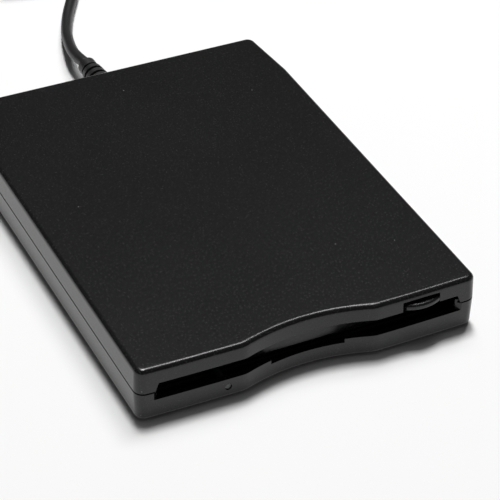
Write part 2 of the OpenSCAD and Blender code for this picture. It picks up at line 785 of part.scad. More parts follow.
// Eject button: a crescent in plan, with a boss behind that grips the tab of the slide plate
button_bow_r = (pow(button_w / 2, 2) + pow(button_proud, 2)) / (2 * button_proud);
button_boss_back = 2.6;
module eject_button() color([0.14, 0.14, 0.14]) difference() {
    union() {
        intersection() {
            translate([button_x, front_y - button_proud + button_bow_r, button_low_z])
                rotate_extrude($fn = fine_fn) {
                    translate([0, button_round]) square([button_bow_r, button_h - 2 * button_round]);
                    square([button_bow_r - button_round, button_h]);
                    for (z = [button_round, button_h - button_round])
                        translate([button_bow_r - button_round, z]) circle(button_round, $fn = round_fn);
                }
            block([button_x - button_w / 2, front_y - 2 * button_proud, button_low_z],
                [button_x + button_w / 2, button_back_y, button_top_z]);
        }
        block([button_x - button_boss_w / 2, button_back_y - button_boss_back, button_top_z - button_h / 2],
            [button_x + button_boss_w / 2, button_back_y, button_boss_z]);
    }
    block([button_x - tab_w / 2 - seat_gap, button_back_y - button_seat, tab_z - seat_gap],
        [button_x + tab_w / 2 + seat_gap, button_back_y + cut, tab_z + sheet + seat_gap]);
}

// Slide plate: a sheet frame over the carrier, with a flange down each side and a raised tab for the button
arm_window = upper_half + free_gap + ear_t + 2 * free_gap;
arm_window_y = head_y - head_travel - head_half - arm_nose - 3 * free_gap;
slide_rear_y = spring_y1 + 2 * spring_stub;
hub_window_r = 16;
module slide_plate() color([0.72, 0.73, 0.75]) difference() {
    union() {
        block([-slide_out, flange_y0, slide_z], [slide_out, slide_rear_y, slide_z + sheet]);
        both_sides() {
            block([slide_in, flange_y0, flange_low_z], [slide_out, flange_y1, slide_z + sheet]);
            block([slide_in - flange_margin, flange_y0, slide_z], [slide_out, flange_y1, slide_z + sheet]);
            block([spring_x - spring_hook_w / 2, spring_y1, slide_z],
                [spring_x + spring_hook_w / 2, spring_y1 + sheet, spring_z + spring_r]);
        }
        block([button_x - tab_w / 2, tab_step_y, slide_z], [button_x + tab_w / 2, flange_y0 + cut, slide_z + sheet]);
        block([button_x - tab_w / 2, tab_step_y, slide_z], [button_x + tab_w / 2, tab_step_y + sheet, tab_z + sheet]);
        block([button_x - tab_w / 2, button_back_y - button_seat + seat_gap, tab_z],
            [button_x + tab_w / 2, tab_step_y + sheet, tab_z + sheet]);
    }
    translate([0, hub_y, 0]) rod_z(hub_window_r, slide_z - cut, slide_z + sheet + cut);
    block([-arm_window, arm_window_y, slide_z - cut], [arm_window, slide_rear_y + cut, slide_z + sheet + cut]);
    both_sides() {
        block([spring_x - spring_window, spring_y0 - 2 * spring_stub, slide_z - cut],
            [spring_x + spring_window, spring_y1, slide_z + sheet + cut]);
        for (y = pin_ys) slanted_slot(y);
    }
}

// Slot that carries a pin down as the plate moves forward
module slanted_slot(y) {
    run = norm([button_travel, load_drop]);
    r = pin_r + pin_play;
    translate([0, y, pin_z]) rod_x(r, slide_in - cut, slide_out + cut);
    translate([0, y + button_travel, pin_z - load_drop]) rod_x(r, slide_in - cut, slide_out + cut);
    translate([slide_in - cut, y, pin_z]) rotate([-atan(load_drop / button_travel), 0, 0])
        translate([0, 0, -r]) cube([sheet + 2 * cut, run, 2 * r]);
}

// Upright slot that keeps a pin at its place along the chassis
module upright_slot(y) {
    r = pin_r + pin_play;
    for (z = [pin_z - load_drop, pin_z]) translate([0, y, z]) rod_x(r, chassis_in - cut, chassis_out + cut);
    block([chassis_in - cut, y - r, pin_z - load_drop], [chassis_out + cut, y + r, pin_z]);
}

// Disk carrier: a channel that holds the disk, open over the hub, the heads and the lever's pin
lever_notch_y = lever_y + lever_l * sin(lever_rest) - lever_pin_r - free_gap;
lever_notch_x = lever_x + lever_l * cos(lever_rest) - lever_pin_r - free_gap;
module disk_carrier() color([0.66, 0.67, 0.7]) difference() {
    union() {
        block([-carrier_out, carrier_front_y, carrier_top_z], [carrier_out, disk_lead_y, carrier_top_z + sheet]);
        both_sides() {
            block([carrier_half, carrier_front_y, carrier_low_z], [carrier_out, disk_lead_y, carrier_top_z + sheet]);
            block([carrier_half - carrier_lip_w, carrier_front_y, carrier_low_z],
                [carrier_out, disk_lead_y, carrier_low_z + sheet]);
            for (y = pin_ys) translate([0, y, pin_z]) rod_x(pin_r, carrier_out - sheet / 2, chassis_out + pin_end);
        }
    }
    translate([0, hub_y, 0]) rod_z(hub_window_r, carrier_top_z - cut, carrier_top_z + sheet + cut);
    block([-arm_window, arm_window_y, carrier_top_z - cut], [arm_window, disk_lead_y + cut, carrier_top_z + sheet + cut]);
    block([lever_notch_x, lever_notch_y, carrier_top_z - cut], [0, disk_lead_y + cut, carrier_top_z + sheet + cut]);
    translate([0, carrier_front_y, 0]) rod_z(hub_window_r, carrier_top_z - cut, carrier_top_z + sheet + cut);
}

// A helix of wire along Y, with hooks as straight ends
function helix_y(y0, y1, r, turns, n) = [for (i = [0:n])
    [r * cos(turns * 360 * i / n), y0 + (y1 - y0) * i / n, r * sin(turns * 360 * i / n)]];
module eject_springs() color([0.75, 0.75, 0.77]) both_sides() translate([spring_x, 0, spring_z]) {
    wound = helix_y(spring_y0 + spring_stub, spring_y1 - spring_stub, spring_r, spring_turns, spring_turns * wind_steps);
    tube(concat([[0, spring_y0 + run_gap, 0], [0, spring_y0 + spring_stub / 2, 0]], wound,
        [[0, spring_y1 - spring_stub / 2, 0], [0, spring_y1 - run_gap, 0]]), spring_wire_r, wind_sides);
}

// Latch lever: an arm round its post, with a pin that the disk's leading edge pushes back
module latch_lever() color([0.85, 0.85, 0.82]) translate([lever_x, lever_y, 0]) rotate(lever_rest) difference() {
    union() {
        rod_z(lever_hub_r, lever_z, lever_z + lever_t);
        block([0, -lever_pin_r, lever_z], [lever_l, lever_pin_r, lever_z + lever_t]);
        translate([lever_l, 0, 0]) rod_z(lever_pin_r, lever_tip_z, lever_z + lever_t);
    }
    rod_z(lever_neck_r + run_gap, lever_z - cut, lever_z + lever_t + cut);
}

// Its torsion spring, round the post below the arm
lever_turns = 3;
lever_wind_r = (lever_post_r + wire_r + run_gap) / cos(180 / wind_steps);
lever_wind_l = 2;
lever_leg = 5;
module lever_spring() color([0.7, 0.7, 0.72]) translate([lever_x, lever_y, lever_z - lever_wind_l - free_gap]) {
    n = lever_turns * wind_steps;
    wound = [for (i = [0:n]) [lever_wind_r * cos(lever_turns * 360 * i / n), lever_wind_r * sin(lever_turns * 360 * i / n),
        lever_wind_l * i / n]];
    tube(concat([[lever_wind_r, -lever_leg, 0]], wound, [[lever_wind_r, lever_leg, lever_wind_l]]), wire_r, wind_sides);
}

// Chassis: a pressed tray with side walls, posts, bearing tabs and extruded screw holes
stepper_tab_half = 6;
tray_cut_x0 = 19;
tray_cut_in = 4;
rod_tab_h = 2.6;
module chassis() color([0.78, 0.79, 0.8]) difference() {
    union() {
        block([-chassis_narrow, chassis_front_y, chassis_z], [chassis_narrow, chassis_rear_y, chassis_top]);
        block([-chassis_out, wall_y0, chassis_z], [chassis_out, wall_y1, chassis_top]);
        both_sides() block([chassis_in, wall_y0, chassis_z], [chassis_out, wall_y1, cover_z]);
        for (p = drive_places) translate(p) rod_z(bush_r, chassis_z, chassis_top + bush_h);
        translate([lever_x, lever_y, 0]) {
            rod_z(lever_post_r, chassis_z, lever_z - run_gap);
            rod_z(lever_neck_r, chassis_z, cover_z);
        }
        translate([stand_x, stand_y, 0]) rod_z(lever_post_r, chassis_z, cover_z);
        for (p = board_places) translate(p) rod_z(post_r, chassis_z, board_z);
        for (y = [bracket_y, carriage_end_y + free_gap])
            block([rod_place - bracket_half, y, chassis_z], [rod_place + bracket_half, y + bracket_t, rod_axis_z + rod_tab_h]);
        block([screw_x - bracket_half, bracket_y, chassis_z], [screw_x + bracket_half, bracket_y + bracket_t, stepper_z + rod_tab_h]);
        block([screw_x - stepper_tab_half, stepper_y - chassis_t, chassis_z],
            [screw_x + stepper_tab_half, stepper_y, stepper_z + stepper_r]);
    }
    translate([0, hub_y, 0]) rod_z(motor_r + free_gap, chassis_z - cut, chassis_top + cut);
    block([-tray_cut_x0, carriage_y - head_travel, chassis_z - cut], [-arm_window, stepper_y - tray_cut_in, chassis_top + cut]);
    both_sides() for (y = pin_ys) upright_slot(y);
    for (p = drive_places) translate(p) rod_z(screw_r + seat_gap, chassis_z - cut, chassis_top + bush_h + cut);
    translate([rod_place, 0, rod_axis_z]) rod_y(rod_r + seat_gap, bracket_y - cut, carriage_end_y + 2 * bracket_t);
    translate([screw_x, 0, stepper_z]) {
        rod_y(journal_r + run_gap, bracket_y - cut, bracket_y + bracket_t + cut);
        rod_y(stepper_boss_r + seat_gap, stepper_y - chassis_t - cut, stepper_y + cut);
    }
    for (p = [[lever_x, lever_y], [stand_x, stand_y]]) translate(p) rod_z(cover_screw_r + seat_gap, cover_z - cover_screw_l, cover_z + cut);
}

// Cover of the mechanism, with windows over the springs and the head arm
cover_rear_y = stepper_y - chassis_t - free_gap;
cover_screw_r = 0.6;
cover_screw_l = 2.4;
cover_head_r = 1.3;
cover_head_h = 0.7;
module mechanism_cover() color([0.8, 0.81, 0.82]) difference() {
    union() {
        block([-chassis_out, flange_y0, cover_z], [chassis_out, wall_y1, cover_z + cover_t]);
        block([-chassis_narrow, flange_y0, cover_z], [chassis_narrow, cover_rear_y, cover_z + cover_t]);
        both_sides() block([spring_x - spring_hook_w / 2, spring_y0 - sheet, spring_z - spring_wire_r],
            [spring_x + spring_hook_w / 2, spring_y0, cover_z + cover_t]);
    }
    both_sides() block([spring_x - spring_window, spring_y0, cover_z - cut],
        [spring_x + spring_window, spring_y1 + 2 * spring_stub, cover_z + cover_t + cut]);
    block([-arm_window, arm_window_y, cover_z - cut], [arm_window, cover_rear_y + cut, cover_z + cover_t + cut]);
    translate([0, hub_y, 0]) rod_z(chuck_r, cover_z - cut, cover_z + cover_t + cut);
    for (p = [[lever_x, lever_y], [stand_x, stand_y]]) translate(p) rod_z(cover_screw_r + screw_clear, cover_z - cut, cover_z + cover_t + cut);
}

module cover_screws() color([0.6, 0.6, 0.62]) {
    for (p = [[lever_x, lever_y], [stand_x, stand_y]]) translate([p.x, p.y, cover_z + cover_t]) {
        rod_z(cover_screw_r, -cover_t - cover_screw_l + run_gap, cover_head_h / 2);
        rod_z(cover_head_r, 0, cover_head_h);
    }
}

// Spindle motor: plate with three lugs, windings, bearing, rotor and its magnet
module motor_plate() color([0.2, 0.35, 0.22]) translate([0, hub_y, 0]) difference() {
    union() {
        rod_z(motor_r, chassis_z, chassis_z + motor_t);
        for (a = [90, 210, 330]) rotate(a) {
            block([motor_lug_in, -motor_lug_w / 2, chassis_top], [motor_lug_r, motor_lug_w / 2, chassis_top + motor_lug_t]);
            block([motor_lug_in, -motor_lug_w / 2, chassis_z + motor_t / 2], [motor_r - free_gap - motor_t, motor_lug_w / 2,
                chassis_top + motor_lug_t / 2]);
        }
    }
    rod_z(bearing_r + seat_gap, chassis_z - cut, chassis_z + motor_t + cut);
}

module motor_coils() color([0.72, 0.42, 0.2]) translate([0, hub_y, 0]) {
    for (i = [0:winding_count - 1]) rotate(i * 360 / winding_count) translate([winding_ring_r, 0, 0])
        ring_z(winding_r, winding_bore, chassis_z + motor_t, chassis_z + motor_t + winding_h);
}

rotor_low_z = rotor_top_z - rotor_t;
bearing_top_z = rotor_low_z - free_gap / 2;
module spindle_bearing() color([0.7, 0.6, 0.4]) translate([0, hub_y, 0]) {
    ring_z(bearing_r, shaft_r + run_gap, chassis_z, bearing_top_z);
}

module spindle_rotor() color([0.82, 0.82, 0.84]) translate([0, hub_y, 0]) {
    rod_z(rotor_r, rotor_low_z, rotor_top_z);
    rod_z(chuck_r, rotor_low_z, rotor_top_z + chuck_h);
    rod_z(shaft_r, chassis_z, rotor_top_z);
    rod_z(centre_pin_r, rotor_top_z, rotor_top_z + centre_pin_h);
    translate([0, -drive_pin_place, 0]) rod_z(drive_pin_r, rotor_top_z, rotor_top_z + drive_pin_h);
}

module spindle_magnet() color([0.22, 0.22, 0.23]) translate([0, hub_y, 0]) {
    ring_z(magnet_r, magnet_bore, rotor_low_z - magnet_t, rotor_low_z);
}

// Stepper motor, its screw with one helical groove, and the rod that guides the heads
stepper_boss_r = 2.2;
stepper_shaft_r = 1;
stepper_bore_l = 4;
module stepper_motor() color([0.6, 0.61, 0.63]) translate([screw_x, 0, stepper_z]) difference() {
    union() {
        rod_y(stepper_r, stepper_y + run_gap, stepper_y + stepper_l);
        rod_y(stepper_boss_r, stepper_y - chassis_t, stepper_y + cut);
    }
    rod_y(stepper_shaft_r + run_gap, stepper_y - chassis_t - cut, stepper_y + stepper_bore_l);
}

groove_slices = 8;
lead_y1 = stepper_y - chassis_t - free_gap;
lead_l = lead_y1 - lead_y0;
module lead_screw() color([0.8, 0.8, 0.82]) translate([screw_x, 0, stepper_z]) {
    translate([0, lead_y1, 0]) rotate([90, 0, 0])
        linear_extrude(lead_l, twist = 360 * lead_l / lead_pitch, slices = ceil(groove_slices * lead_l / lead_pitch))
            difference() {
                circle(lead_r, $fn = round_fn / 3);
                translate([-lead_r, 0]) circle(groove_r, $fn = round_fn / 6);
            }
    rod_y(journal_r, bracket_y, lead_y0 + cut);
    rod_y(stepper_shaft_r, lead_y1 - cut, stepper_y + stepper_bore_l - free_gap);
}

module guide_rod() color([0.85, 0.85, 0.87]) translate([rod_place, 0, rod_axis_z]) {
    rod_y(rod_r, bracket_y, carriage_end_y + free_gap + bracket_t);
}

// Head carriage: a moulded block on the rod with a long tongue for the lower head and ears for the arm's pin
carriage_right = 7.4;
carriage_left = rod_place - rod_r - bush_wall;
follower_r = 0.45;
follower_gap = 0.1;
ear_h = 1.8;
module head_carriage() color([0.16, 0.16, 0.17]) difference() {
    union() {
        block([carriage_left, carriage_y, arm_low_z], [carriage_right, carriage_end_y, carriage_top_z]);
        block([-arm_half, head_y - 2 * head_half, arm_low_z], [arm_half, carriage_y + cut, arm_low_z + arm_base_t]);
        both_sides() block([ear_x, arm_pin_y - ear_h, arm_low_z], [ear_x + ear_t, arm_pin_y + ear_h, arm_pin_z + 2 * arm_pin_r]);
        translate([0, carriage_y + carriage_l / 2, stepper_z]) rod_x(follower_r, carriage_right - cut, screw_x - lead_r - follower_gap);
    }
    translate([rod_place, 0, rod_axis_z]) rod_y(rod_r + run_gap, carriage_y - cut, carriage_end_y + cut);
    translate([0, arm_pin_y, arm_pin_z]) {
        rod_x(2 * arm_pin_r + free_gap, -ear_x, ear_x);
        rod_x(arm_pin_r + seat_gap, -ear_x - ear_t - cut, ear_x + ear_t + cut);
    }
}

head_gap = 0.15;
module lower_head() color([0.35, 0.3, 0.25]) {
    block([-head_half, head_y - head_half, arm_low_z + arm_base_t], [head_half, head_y + head_half, medium_z - head_gap]);
}

// The arm turns about its pin: here it is lifted clear of the disk
module lifted() {
    translate([0, arm_pin_y, arm_pin_z]) rotate([-arm_lift, 0, 0]) translate([0, -arm_pin_y, -arm_pin_z]) children();
}

arm_front_half = 3.4;
module head_arm() color([0.2, 0.2, 0.21]) lifted() difference() {
    union() {
        translate([0, 0, arm_under_z]) linear_extrude(arm_t)
            polygon([[-arm_front_half, head_y - head_half - arm_nose], [arm_front_half, head_y - head_half - arm_nose],
                [upper_half, arm_pin_y - lever_l / 2], [upper_half, arm_pin_y],
                [-upper_half, arm_pin_y], [-upper_half, arm_pin_y - lever_l / 2]]);
        translate([0, arm_pin_y, arm_pin_z]) rod_x(2 * arm_pin_r, -upper_half, upper_half);
    }
    translate([0, arm_pin_y, arm_pin_z]) rod_x(arm_pin_r + run_gap, -upper_half - cut, upper_half + cut);
}

module upper_head() color([0.35, 0.3, 0.25]) lifted() {
    block([-head_half, head_y - head_half, medium_z + head_gap], [head_half, head_y + head_half, arm_under_z]);
}

module arm_pin() color([0.8, 0.8, 0.82]) translate([0, arm_pin_y, arm_pin_z]) {
    rod_x(arm_pin_r, -ear_x - ear_t, ear_x + ear_t);
}

// Flexible strip from the carriage to the main board, standing on edge in one loose bend
flex_t = 0.15;
flex_h = 3;
flex_z = board_z + 2 * board_t;
flex_in = 2;
flex_y = carriage_end_y - flex_in;
flex_r = (-main_in - carriage_left) / -2;
module head_flex() color([0.75, 0.5, 0.2]) translate([carriage_left - flex_r, flex_y, flex_z]) linear_extrude(flex_h)
    polygon(concat([for (a = [0:15:180]) flex_r * [cos(a), sin(a)]],
        [for (a = [180:-15:0]) (flex_r - flex_t) * [cos(a), sin(a)]]));

// Boards, their chips and the ribbon between them
socket_w = 8;
socket_l = 3;
socket_h = 2.4;
module main_board() color([0.1, 0.35, 0.2]) difference() {
    block([-board_half_out, board_y0, board_z], [-main_in, board_y0 + board_l, board_z + board_t]);
    translate([lever_x, lever_y, 0]) rod_z(lever_post_r + free_gap, board_z - cut, board_z + board_t + cut);
}

chip_in = 6;
chip_w = 13;
small_chip_w = 6;
small_chip_l = 8;
module main_chips() color([0.08, 0.08, 0.08]) translate([-board_half_out, board_y0, board_z + board_t]) {
    block([chip_in, chip_in, 0], [chip_in + chip_w, chip_in + chip_w, chip_h]);
    block([chip_in, chip_in + chip_w + board_t, 0], [chip_in + small_chip_l, chip_in + chip_w + board_t + small_chip_w, chip_h]);
    block([board_half_out - main_in - socket_w, board_l - socket_l, 0], [board_half_out - main_in, board_l, socket_h]);
}

module usb_board() color([0.1, 0.35, 0.2]) difference() {
    block([usb_in, board_y0, board_z], [board_half_out, board_y0 + board_l, board_z + board_t]);
    translate([stand_x, stand_y, 0]) rod_z(lever_post_r + free_gap, board_z - cut, board_z + board_t + cut);
}

module usb_chips() color([0.08, 0.08, 0.08]) translate([usb_in, board_y0, board_z + board_t]) {
    block([chip_in, chip_in, 0], [chip_in + small_chip_l, chip_in + small_chip_l, chip_h]);
    block([0, board_l - socket_l, 0], [socket_w, board_l, socket_h]);
    block([chip_in, chip_in + small_chip_l + board_t, 0], [chip_in + socket_l, chip_in + small_chip_l + board_t + small_chip_w, socket_h]);
}

ribbon_t = 0.2;
ribbon_w = 5;
ribbon_gap = 0.5;
ribbon_y = stepper_y + stepper_l + ribbon_gap;
ribbon_z = board_z + board_t;
module board_ribbon() color([0.85, 0.85, 0.85]) {
    left = -main_in - socket_w / 2;
    right = usb_in + socket_w / 2;
    block([left, ribbon_y, ribbon_z], [right, ribbon_y + ribbon_t, ribbon_z + ribbon_w]);
    for (x = [left, right - ribbon_t]) block([x, board_y0 + board_l, ribbon_z], [x + ribbon_t, ribbon_y + ribbon_t, ribbon_z + socket_h]);
}

// Sense switches: three housings, each with a plunger that the loaded disk presses
module sense_switches() color([0.15, 0.15, 0.16]) {
    for (p = switch_places) translate(p) difference() {
        block([-switch_w / 2, -switch_l / 2, chassis_top], [switch_w / 2, switch_l / 2, chassis_top + switch_h]);
        rod_z(plunger_r + run_gap, chassis_top + switch_h - plunger_travel - free_gap, chassis_top + switch_h + cut);
    }
}

module plunger(p) color([0.9, 0.9, 0.85]) translate(p) {
    rod_z(plunger_r, chassis_top + switch_h - run_gap, plunger_top_z);
}

module protect_plunger() { plunger(switch_places[0]); }
module density_plunger() { plunger(switch_places[1]); }
module disk_in_plunger() { plunger(switch_places[2]); }

// Strain relief: a flange inside the wall, a neck in it and a tapering row of rings outside
relief_pitch = relief_l / (relief_ring_count + 1);
module cord_relief() color([0.1, 0.1, 0.1]) translate([0, rear_y, cord_z]) rotate([-90, 0, 0])
    rotate_extrude($fn = round_fn) polygon(concat(
        [[0, -relief_flange_in - relief_flange_t], [relief_d / 2, -relief_flange_in - relief_flange_t],
            [relief_d / 2, -relief_flange_in], [relief_neck_r, -relief_flange_in], [relief_neck_r, seat_gap]],
        [for (i = [0:relief_ring_count - 1]) let (r = relief_r(i), y = seat_gap + i * relief_pitch)
            each [[r, y], [relief_r(i + relief_ring_share), y + relief_ring_share * relief_pitch],
                [relief_core_share * relief_r(i + relief_ring_share), y + relief_step_share * relief_pitch],
                [relief_core_share * relief_r(i + 1), y + relief_pitch]]],
        [[relief_end_r, relief_ring_count * relief_pitch + seat_gap], [relief_end_r, relief_l], [0, relief_l]]));
function relief_r(i) = relief_d / 2 + (relief_end_r - relief_d / 2) * i / (relief_ring_count + 1);

// Four wires from the cord's end to the board on the right
core_r = 0.35;
core_pitch = 0.9;
core_bend = 2.6;
core_gap = 0.8;
module cord_wires() color([0.6, 0.1, 0.1]) for (i = [0:3]) {
    z = cord_z + (i - 1.5) * core_pitch;
    y = rear_y - relief_flange_in - relief_flange_t;
    turn_y = ribbon_y + ribbon_t + core_r + core_gap;
    tube([[0, y, z], [0, turn_y + core_r / 2, z], [core_bend / 2, turn_y, z], [core_bend, turn_y, z], [usb_in + socket_w / 2 + core_bend, turn_y, z],
        [usb_in + socket_w + core_bend, turn_y - core_bend, z], [usb_in + socket_w + core_bend, board_y0 + board_l, z]], core_r, 6);
}

// Cord: the free stretch, the coil, the stretch to the plug and the tie
module cord_lead() color([0.12, 0.12, 0.13]) tube(lead_route, cord_r, 8);
module cord_coil() color([0.12, 0.12, 0.13]) tube(coil_path, cord_r, 6);
module cord_tail() color([0.12, 0.12, 0.13]) tube(concat([coil_tail], tail_route), cord_r, 8);

module cord_tie() color([0.1, 0.1, 0.1]) translate([coil_centre.x, coil_centre.y, 0]) rotate([90, 0, tie_at])
    translate([0, 0, -tie_w / 2]) linear_extrude(tie_w) difference() {
        rounded([tie_r0 - tie_t, 0], [tie_r1 + tie_t, tie_z1 + tie_t], tie_round);
        rounded([tie_r0, tie_z0], [tie_r1, tie_z1], tie_round - tie_t);
    }

// Plug, lying flat and pointing to -X: a grip with a tapering neck, the metal shell, its tongue and four contacts
module plug_grip() color([0.1, 0.1, 0.1]) translate(plug_at) {
    translate([-neck_l, 0, 0]) rotate([0, 90, 0]) cylinder(r1 = neck_r1, r2 = neck_r0, h = neck_l, $fn = round_fn);
    difference() {
        translate([-neck_l, 0, 0]) rotate([90, 0, -90]) linear_extrude(grip_l)
            rounded([-grip_w / 2, -grip_h / 2], [grip_w / 2, grip_h / 2], grip_round);
        for (i = [0:grip_ribs - 1], s = [-1, 1])
            translate([-neck_l - grip_l / 4 - i * (grip_rib_t + grip_rib_gap), s * (grip_w / 2), 0])
                block([-grip_rib_gap / 2, -grip_waist / 2, -grip_h], [grip_rib_gap / 2, grip_waist / 2, grip_h]);
    }
}

module plug_shell() color([0.8, 0.8, 0.82]) translate(plug_at - [neck_l + grip_l, 0, 0]) difference() {
    block([-plug_l, -plug_w / 2, -plug_h / 2], [0, plug_w / 2, plug_h / 2]);
    block([-plug_l - cut, -plug_w / 2 + plug_skin, -plug_h / 2 + plug_skin], [cut, plug_w / 2 - plug_skin, plug_h / 2 - plug_skin]);
    for (s = [-1, 1]) translate([-plug_hole_in, s * (plug_hole_gap + plug_hole / 2), 0])
        block([-plug_hole, -plug_hole / 2, -plug_h], [0, plug_hole / 2, plug_h]);
}

module plug_tongue() color([0.85, 0.85, 0.85]) translate(plug_at - [neck_l + grip_l, 0, 0]) {
    block([-plug_l + tongue_back, -tongue_w / 2, plug_h / 2 - plug_skin - tongue_thick], [0, tongue_w / 2, plug_h / 2 - plug_skin]);
}

module plug_contacts() color([0.85, 0.65, 0.25]) translate(plug_at - [neck_l + grip_l, 0, plug_skin + tongue_thick - plug_h / 2]) {
    for (f = contact_pitch_share) translate([0, f * tongue_w, 0])
        block([-plug_l + tongue_back + contact_set, -contact_w / 2, -contact_t], [-plug_l + tongue_back + contact_set + contact_l, contact_w / 2, 0]);
}

top_cover();
bottom_cover();
case_screws();
rubber_feet();
light_pipe();
lamp();
lamp_board();
dust_flap();
flap_spring();
eject_button();
slide_plate();
disk_carrier();
eject_springs();
latch_lever();
lever_spring();
chassis();
drive_screws();
mechanism_cover();
cover_screws();
motor_plate();
motor_coils();
spindle_bearing();
spindle_rotor();
spindle_magnet();
stepper_motor();
lead_screw();
guide_rod();
head_carriage();
lower_head();
head_arm();
upper_head();
arm_pin();
head_flex();
main_board();
main_chips();
usb_board();
usb_chips();
board_ribbon();
sense_switches();
protect_plunger();
density_plunger();
disk_in_plunger();
cord_relief();
cord_wires();
cord_lead();
cord_coil();
cord_tail();
cord_tie();
plug_grip();
plug_shell();
plug_tongue();
plug_contacts();
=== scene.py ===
import math

import bpy
from mathutils import Matrix, Vector


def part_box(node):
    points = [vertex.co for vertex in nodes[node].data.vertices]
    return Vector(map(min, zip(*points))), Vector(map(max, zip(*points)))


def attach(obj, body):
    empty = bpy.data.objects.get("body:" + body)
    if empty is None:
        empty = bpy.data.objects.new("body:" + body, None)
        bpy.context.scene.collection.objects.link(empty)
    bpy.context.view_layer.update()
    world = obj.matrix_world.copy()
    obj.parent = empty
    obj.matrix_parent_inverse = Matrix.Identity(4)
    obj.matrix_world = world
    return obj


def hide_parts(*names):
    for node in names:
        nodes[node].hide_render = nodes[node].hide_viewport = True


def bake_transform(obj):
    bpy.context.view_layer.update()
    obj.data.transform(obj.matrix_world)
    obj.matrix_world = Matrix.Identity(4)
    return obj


bl_info = {
    "name": "External floppy drive",
    "version": (1, 0, 0),
    "blender": (4, 5, 0),
    "location": "View3D > Sidebar > Drive",
    "description": "Finishes, cord and studio for a slim external floppy drive",
    "category": "Object",
}

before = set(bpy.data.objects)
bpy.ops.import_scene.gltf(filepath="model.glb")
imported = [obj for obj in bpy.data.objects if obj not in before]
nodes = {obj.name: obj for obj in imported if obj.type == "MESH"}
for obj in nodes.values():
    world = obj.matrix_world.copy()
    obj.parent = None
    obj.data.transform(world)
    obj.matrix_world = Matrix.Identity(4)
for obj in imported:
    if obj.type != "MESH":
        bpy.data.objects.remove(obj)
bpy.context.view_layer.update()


# Settings

class DriveColours(bpy.types.PropertyGroup):
    """Colours of the drive's finishes."""
    shell: bpy.props.FloatVectorProperty(name="Case", description="Moulded case, both shells and the button",
        subtype="COLOR", size=3, min=0, max=1, default=(0.008, 0.008, 0.0082))
    rubber: bpy.props.FloatVectorProperty(name="Rubber", description="Feet, strain relief, tie and plug grip",
        subtype="COLOR", size=3, min=0, max=1, default=(0.013, 0.013, 0.0135))
    cord: bpy.props.FloatVectorProperty(name="Cord", description="Vinyl of the cord",
        subtype="COLOR", size=3, min=0, max=1, default=(0.01, 0.01, 0.0103))
    steel: bpy.props.FloatVectorProperty(name="Zinc", description="Zinc-plated sheet of the mechanism",
        subtype="COLOR", size=3, min=0, max=1, default=(0.56, 0.58, 0.6))
    board: bpy.props.FloatVectorProperty(name="Board", description="Solder resist of the boards",
        subtype="COLOR", size=3, min=0, max=1, default=(0.01, 0.085, 0.03))
    lens: bpy.props.FloatVectorProperty(name="Lamp lens", description="Frosted window of the lamp, unlit",
        subtype="COLOR", size=3, min=0, max=1, default=(0.16, 0.165, 0.16))


class DriveSizes(bpy.types.PropertyGroup):
    """Sizes of the cord, and of the case's grain and edges."""
    cord_diameter: bpy.props.FloatProperty(name="Cord", description="Diameter of the cord",
        default=0.0038, min=0.002, max=0.006, unit="LENGTH", precision=4)
    cord_sides: bpy.props.IntProperty(name="Sides", description="Sides of the cord's tube",
        default=20, min=8, max=48)
    grain: bpy.props.FloatProperty(name="Grain", description="Size of the case's moulded grain",
        default=0.00042, min=0.0001, max=0.002, unit="LENGTH", precision=5)
    edge: bpy.props.FloatProperty(name="Edge round", description="Round on the case's small edges",
        default=0.0002, min=0, max=0.001, unit="LENGTH", precision=5)


class DriveStudio(bpy.types.PropertyGroup):
    """Light levels and the camera of the studio."""
    azimuth: bpy.props.FloatProperty(name="Azimuth", description="Camera's turn round the drive",
        default=math.radians(-26.29), subtype="ANGLE")
    elevation: bpy.props.FloatProperty(name="Elevation", description="Camera's angle above the table",
        default=math.radians(36.56), subtype="ANGLE")
    roll: bpy.props.FloatProperty(name="Roll", description="Camera's tilt about its own axis",
        default=math.radians(1.13), subtype="ANGLE")
    place: bpy.props.FloatVectorProperty(name="Camera", description="Camera's place",
        default=(-0.2220, -0.4803, 0.3871), subtype="XYZ", unit="LENGTH")
    lens: bpy.props.FloatProperty(name="Lens", description="Focal length for a 36 mm sensor", default=159.3)
    key: bpy.props.FloatProperty(name="Key", description="Power of the soft box above and behind",
        default=43, unit="POWER")
    fill: bpy.props.FloatProperty(name="Fill", description="Power of the broader box beside it",
        default=14, unit="POWER")
    strip: bpy.props.FloatProperty(name="Strip", description="Power of the box that shines on the front edge",
        default=16, unit="POWER")
    overhead: bpy.props.FloatProperty(name="Overhead", description="Power of the faint box overhead",
        default=3.0, unit="POWER")
    ambient: bpy.props.FloatProperty(name="Ambient", description="Level of the room's light",
        default=0.045, min=0, max=1)
    dark: bpy.props.FloatProperty(name="Dark room", description="Level of the room that gloss reflects",
        default=0.06, min=0, max=1)


def colours():
    return bpy.context.scene.drive_colours


def sizes():
    return bpy.context.scene.drive_sizes


def studio():
    return bpy.context.scene.drive_studio


# Colours of the smaller pieces, and of dust and lint

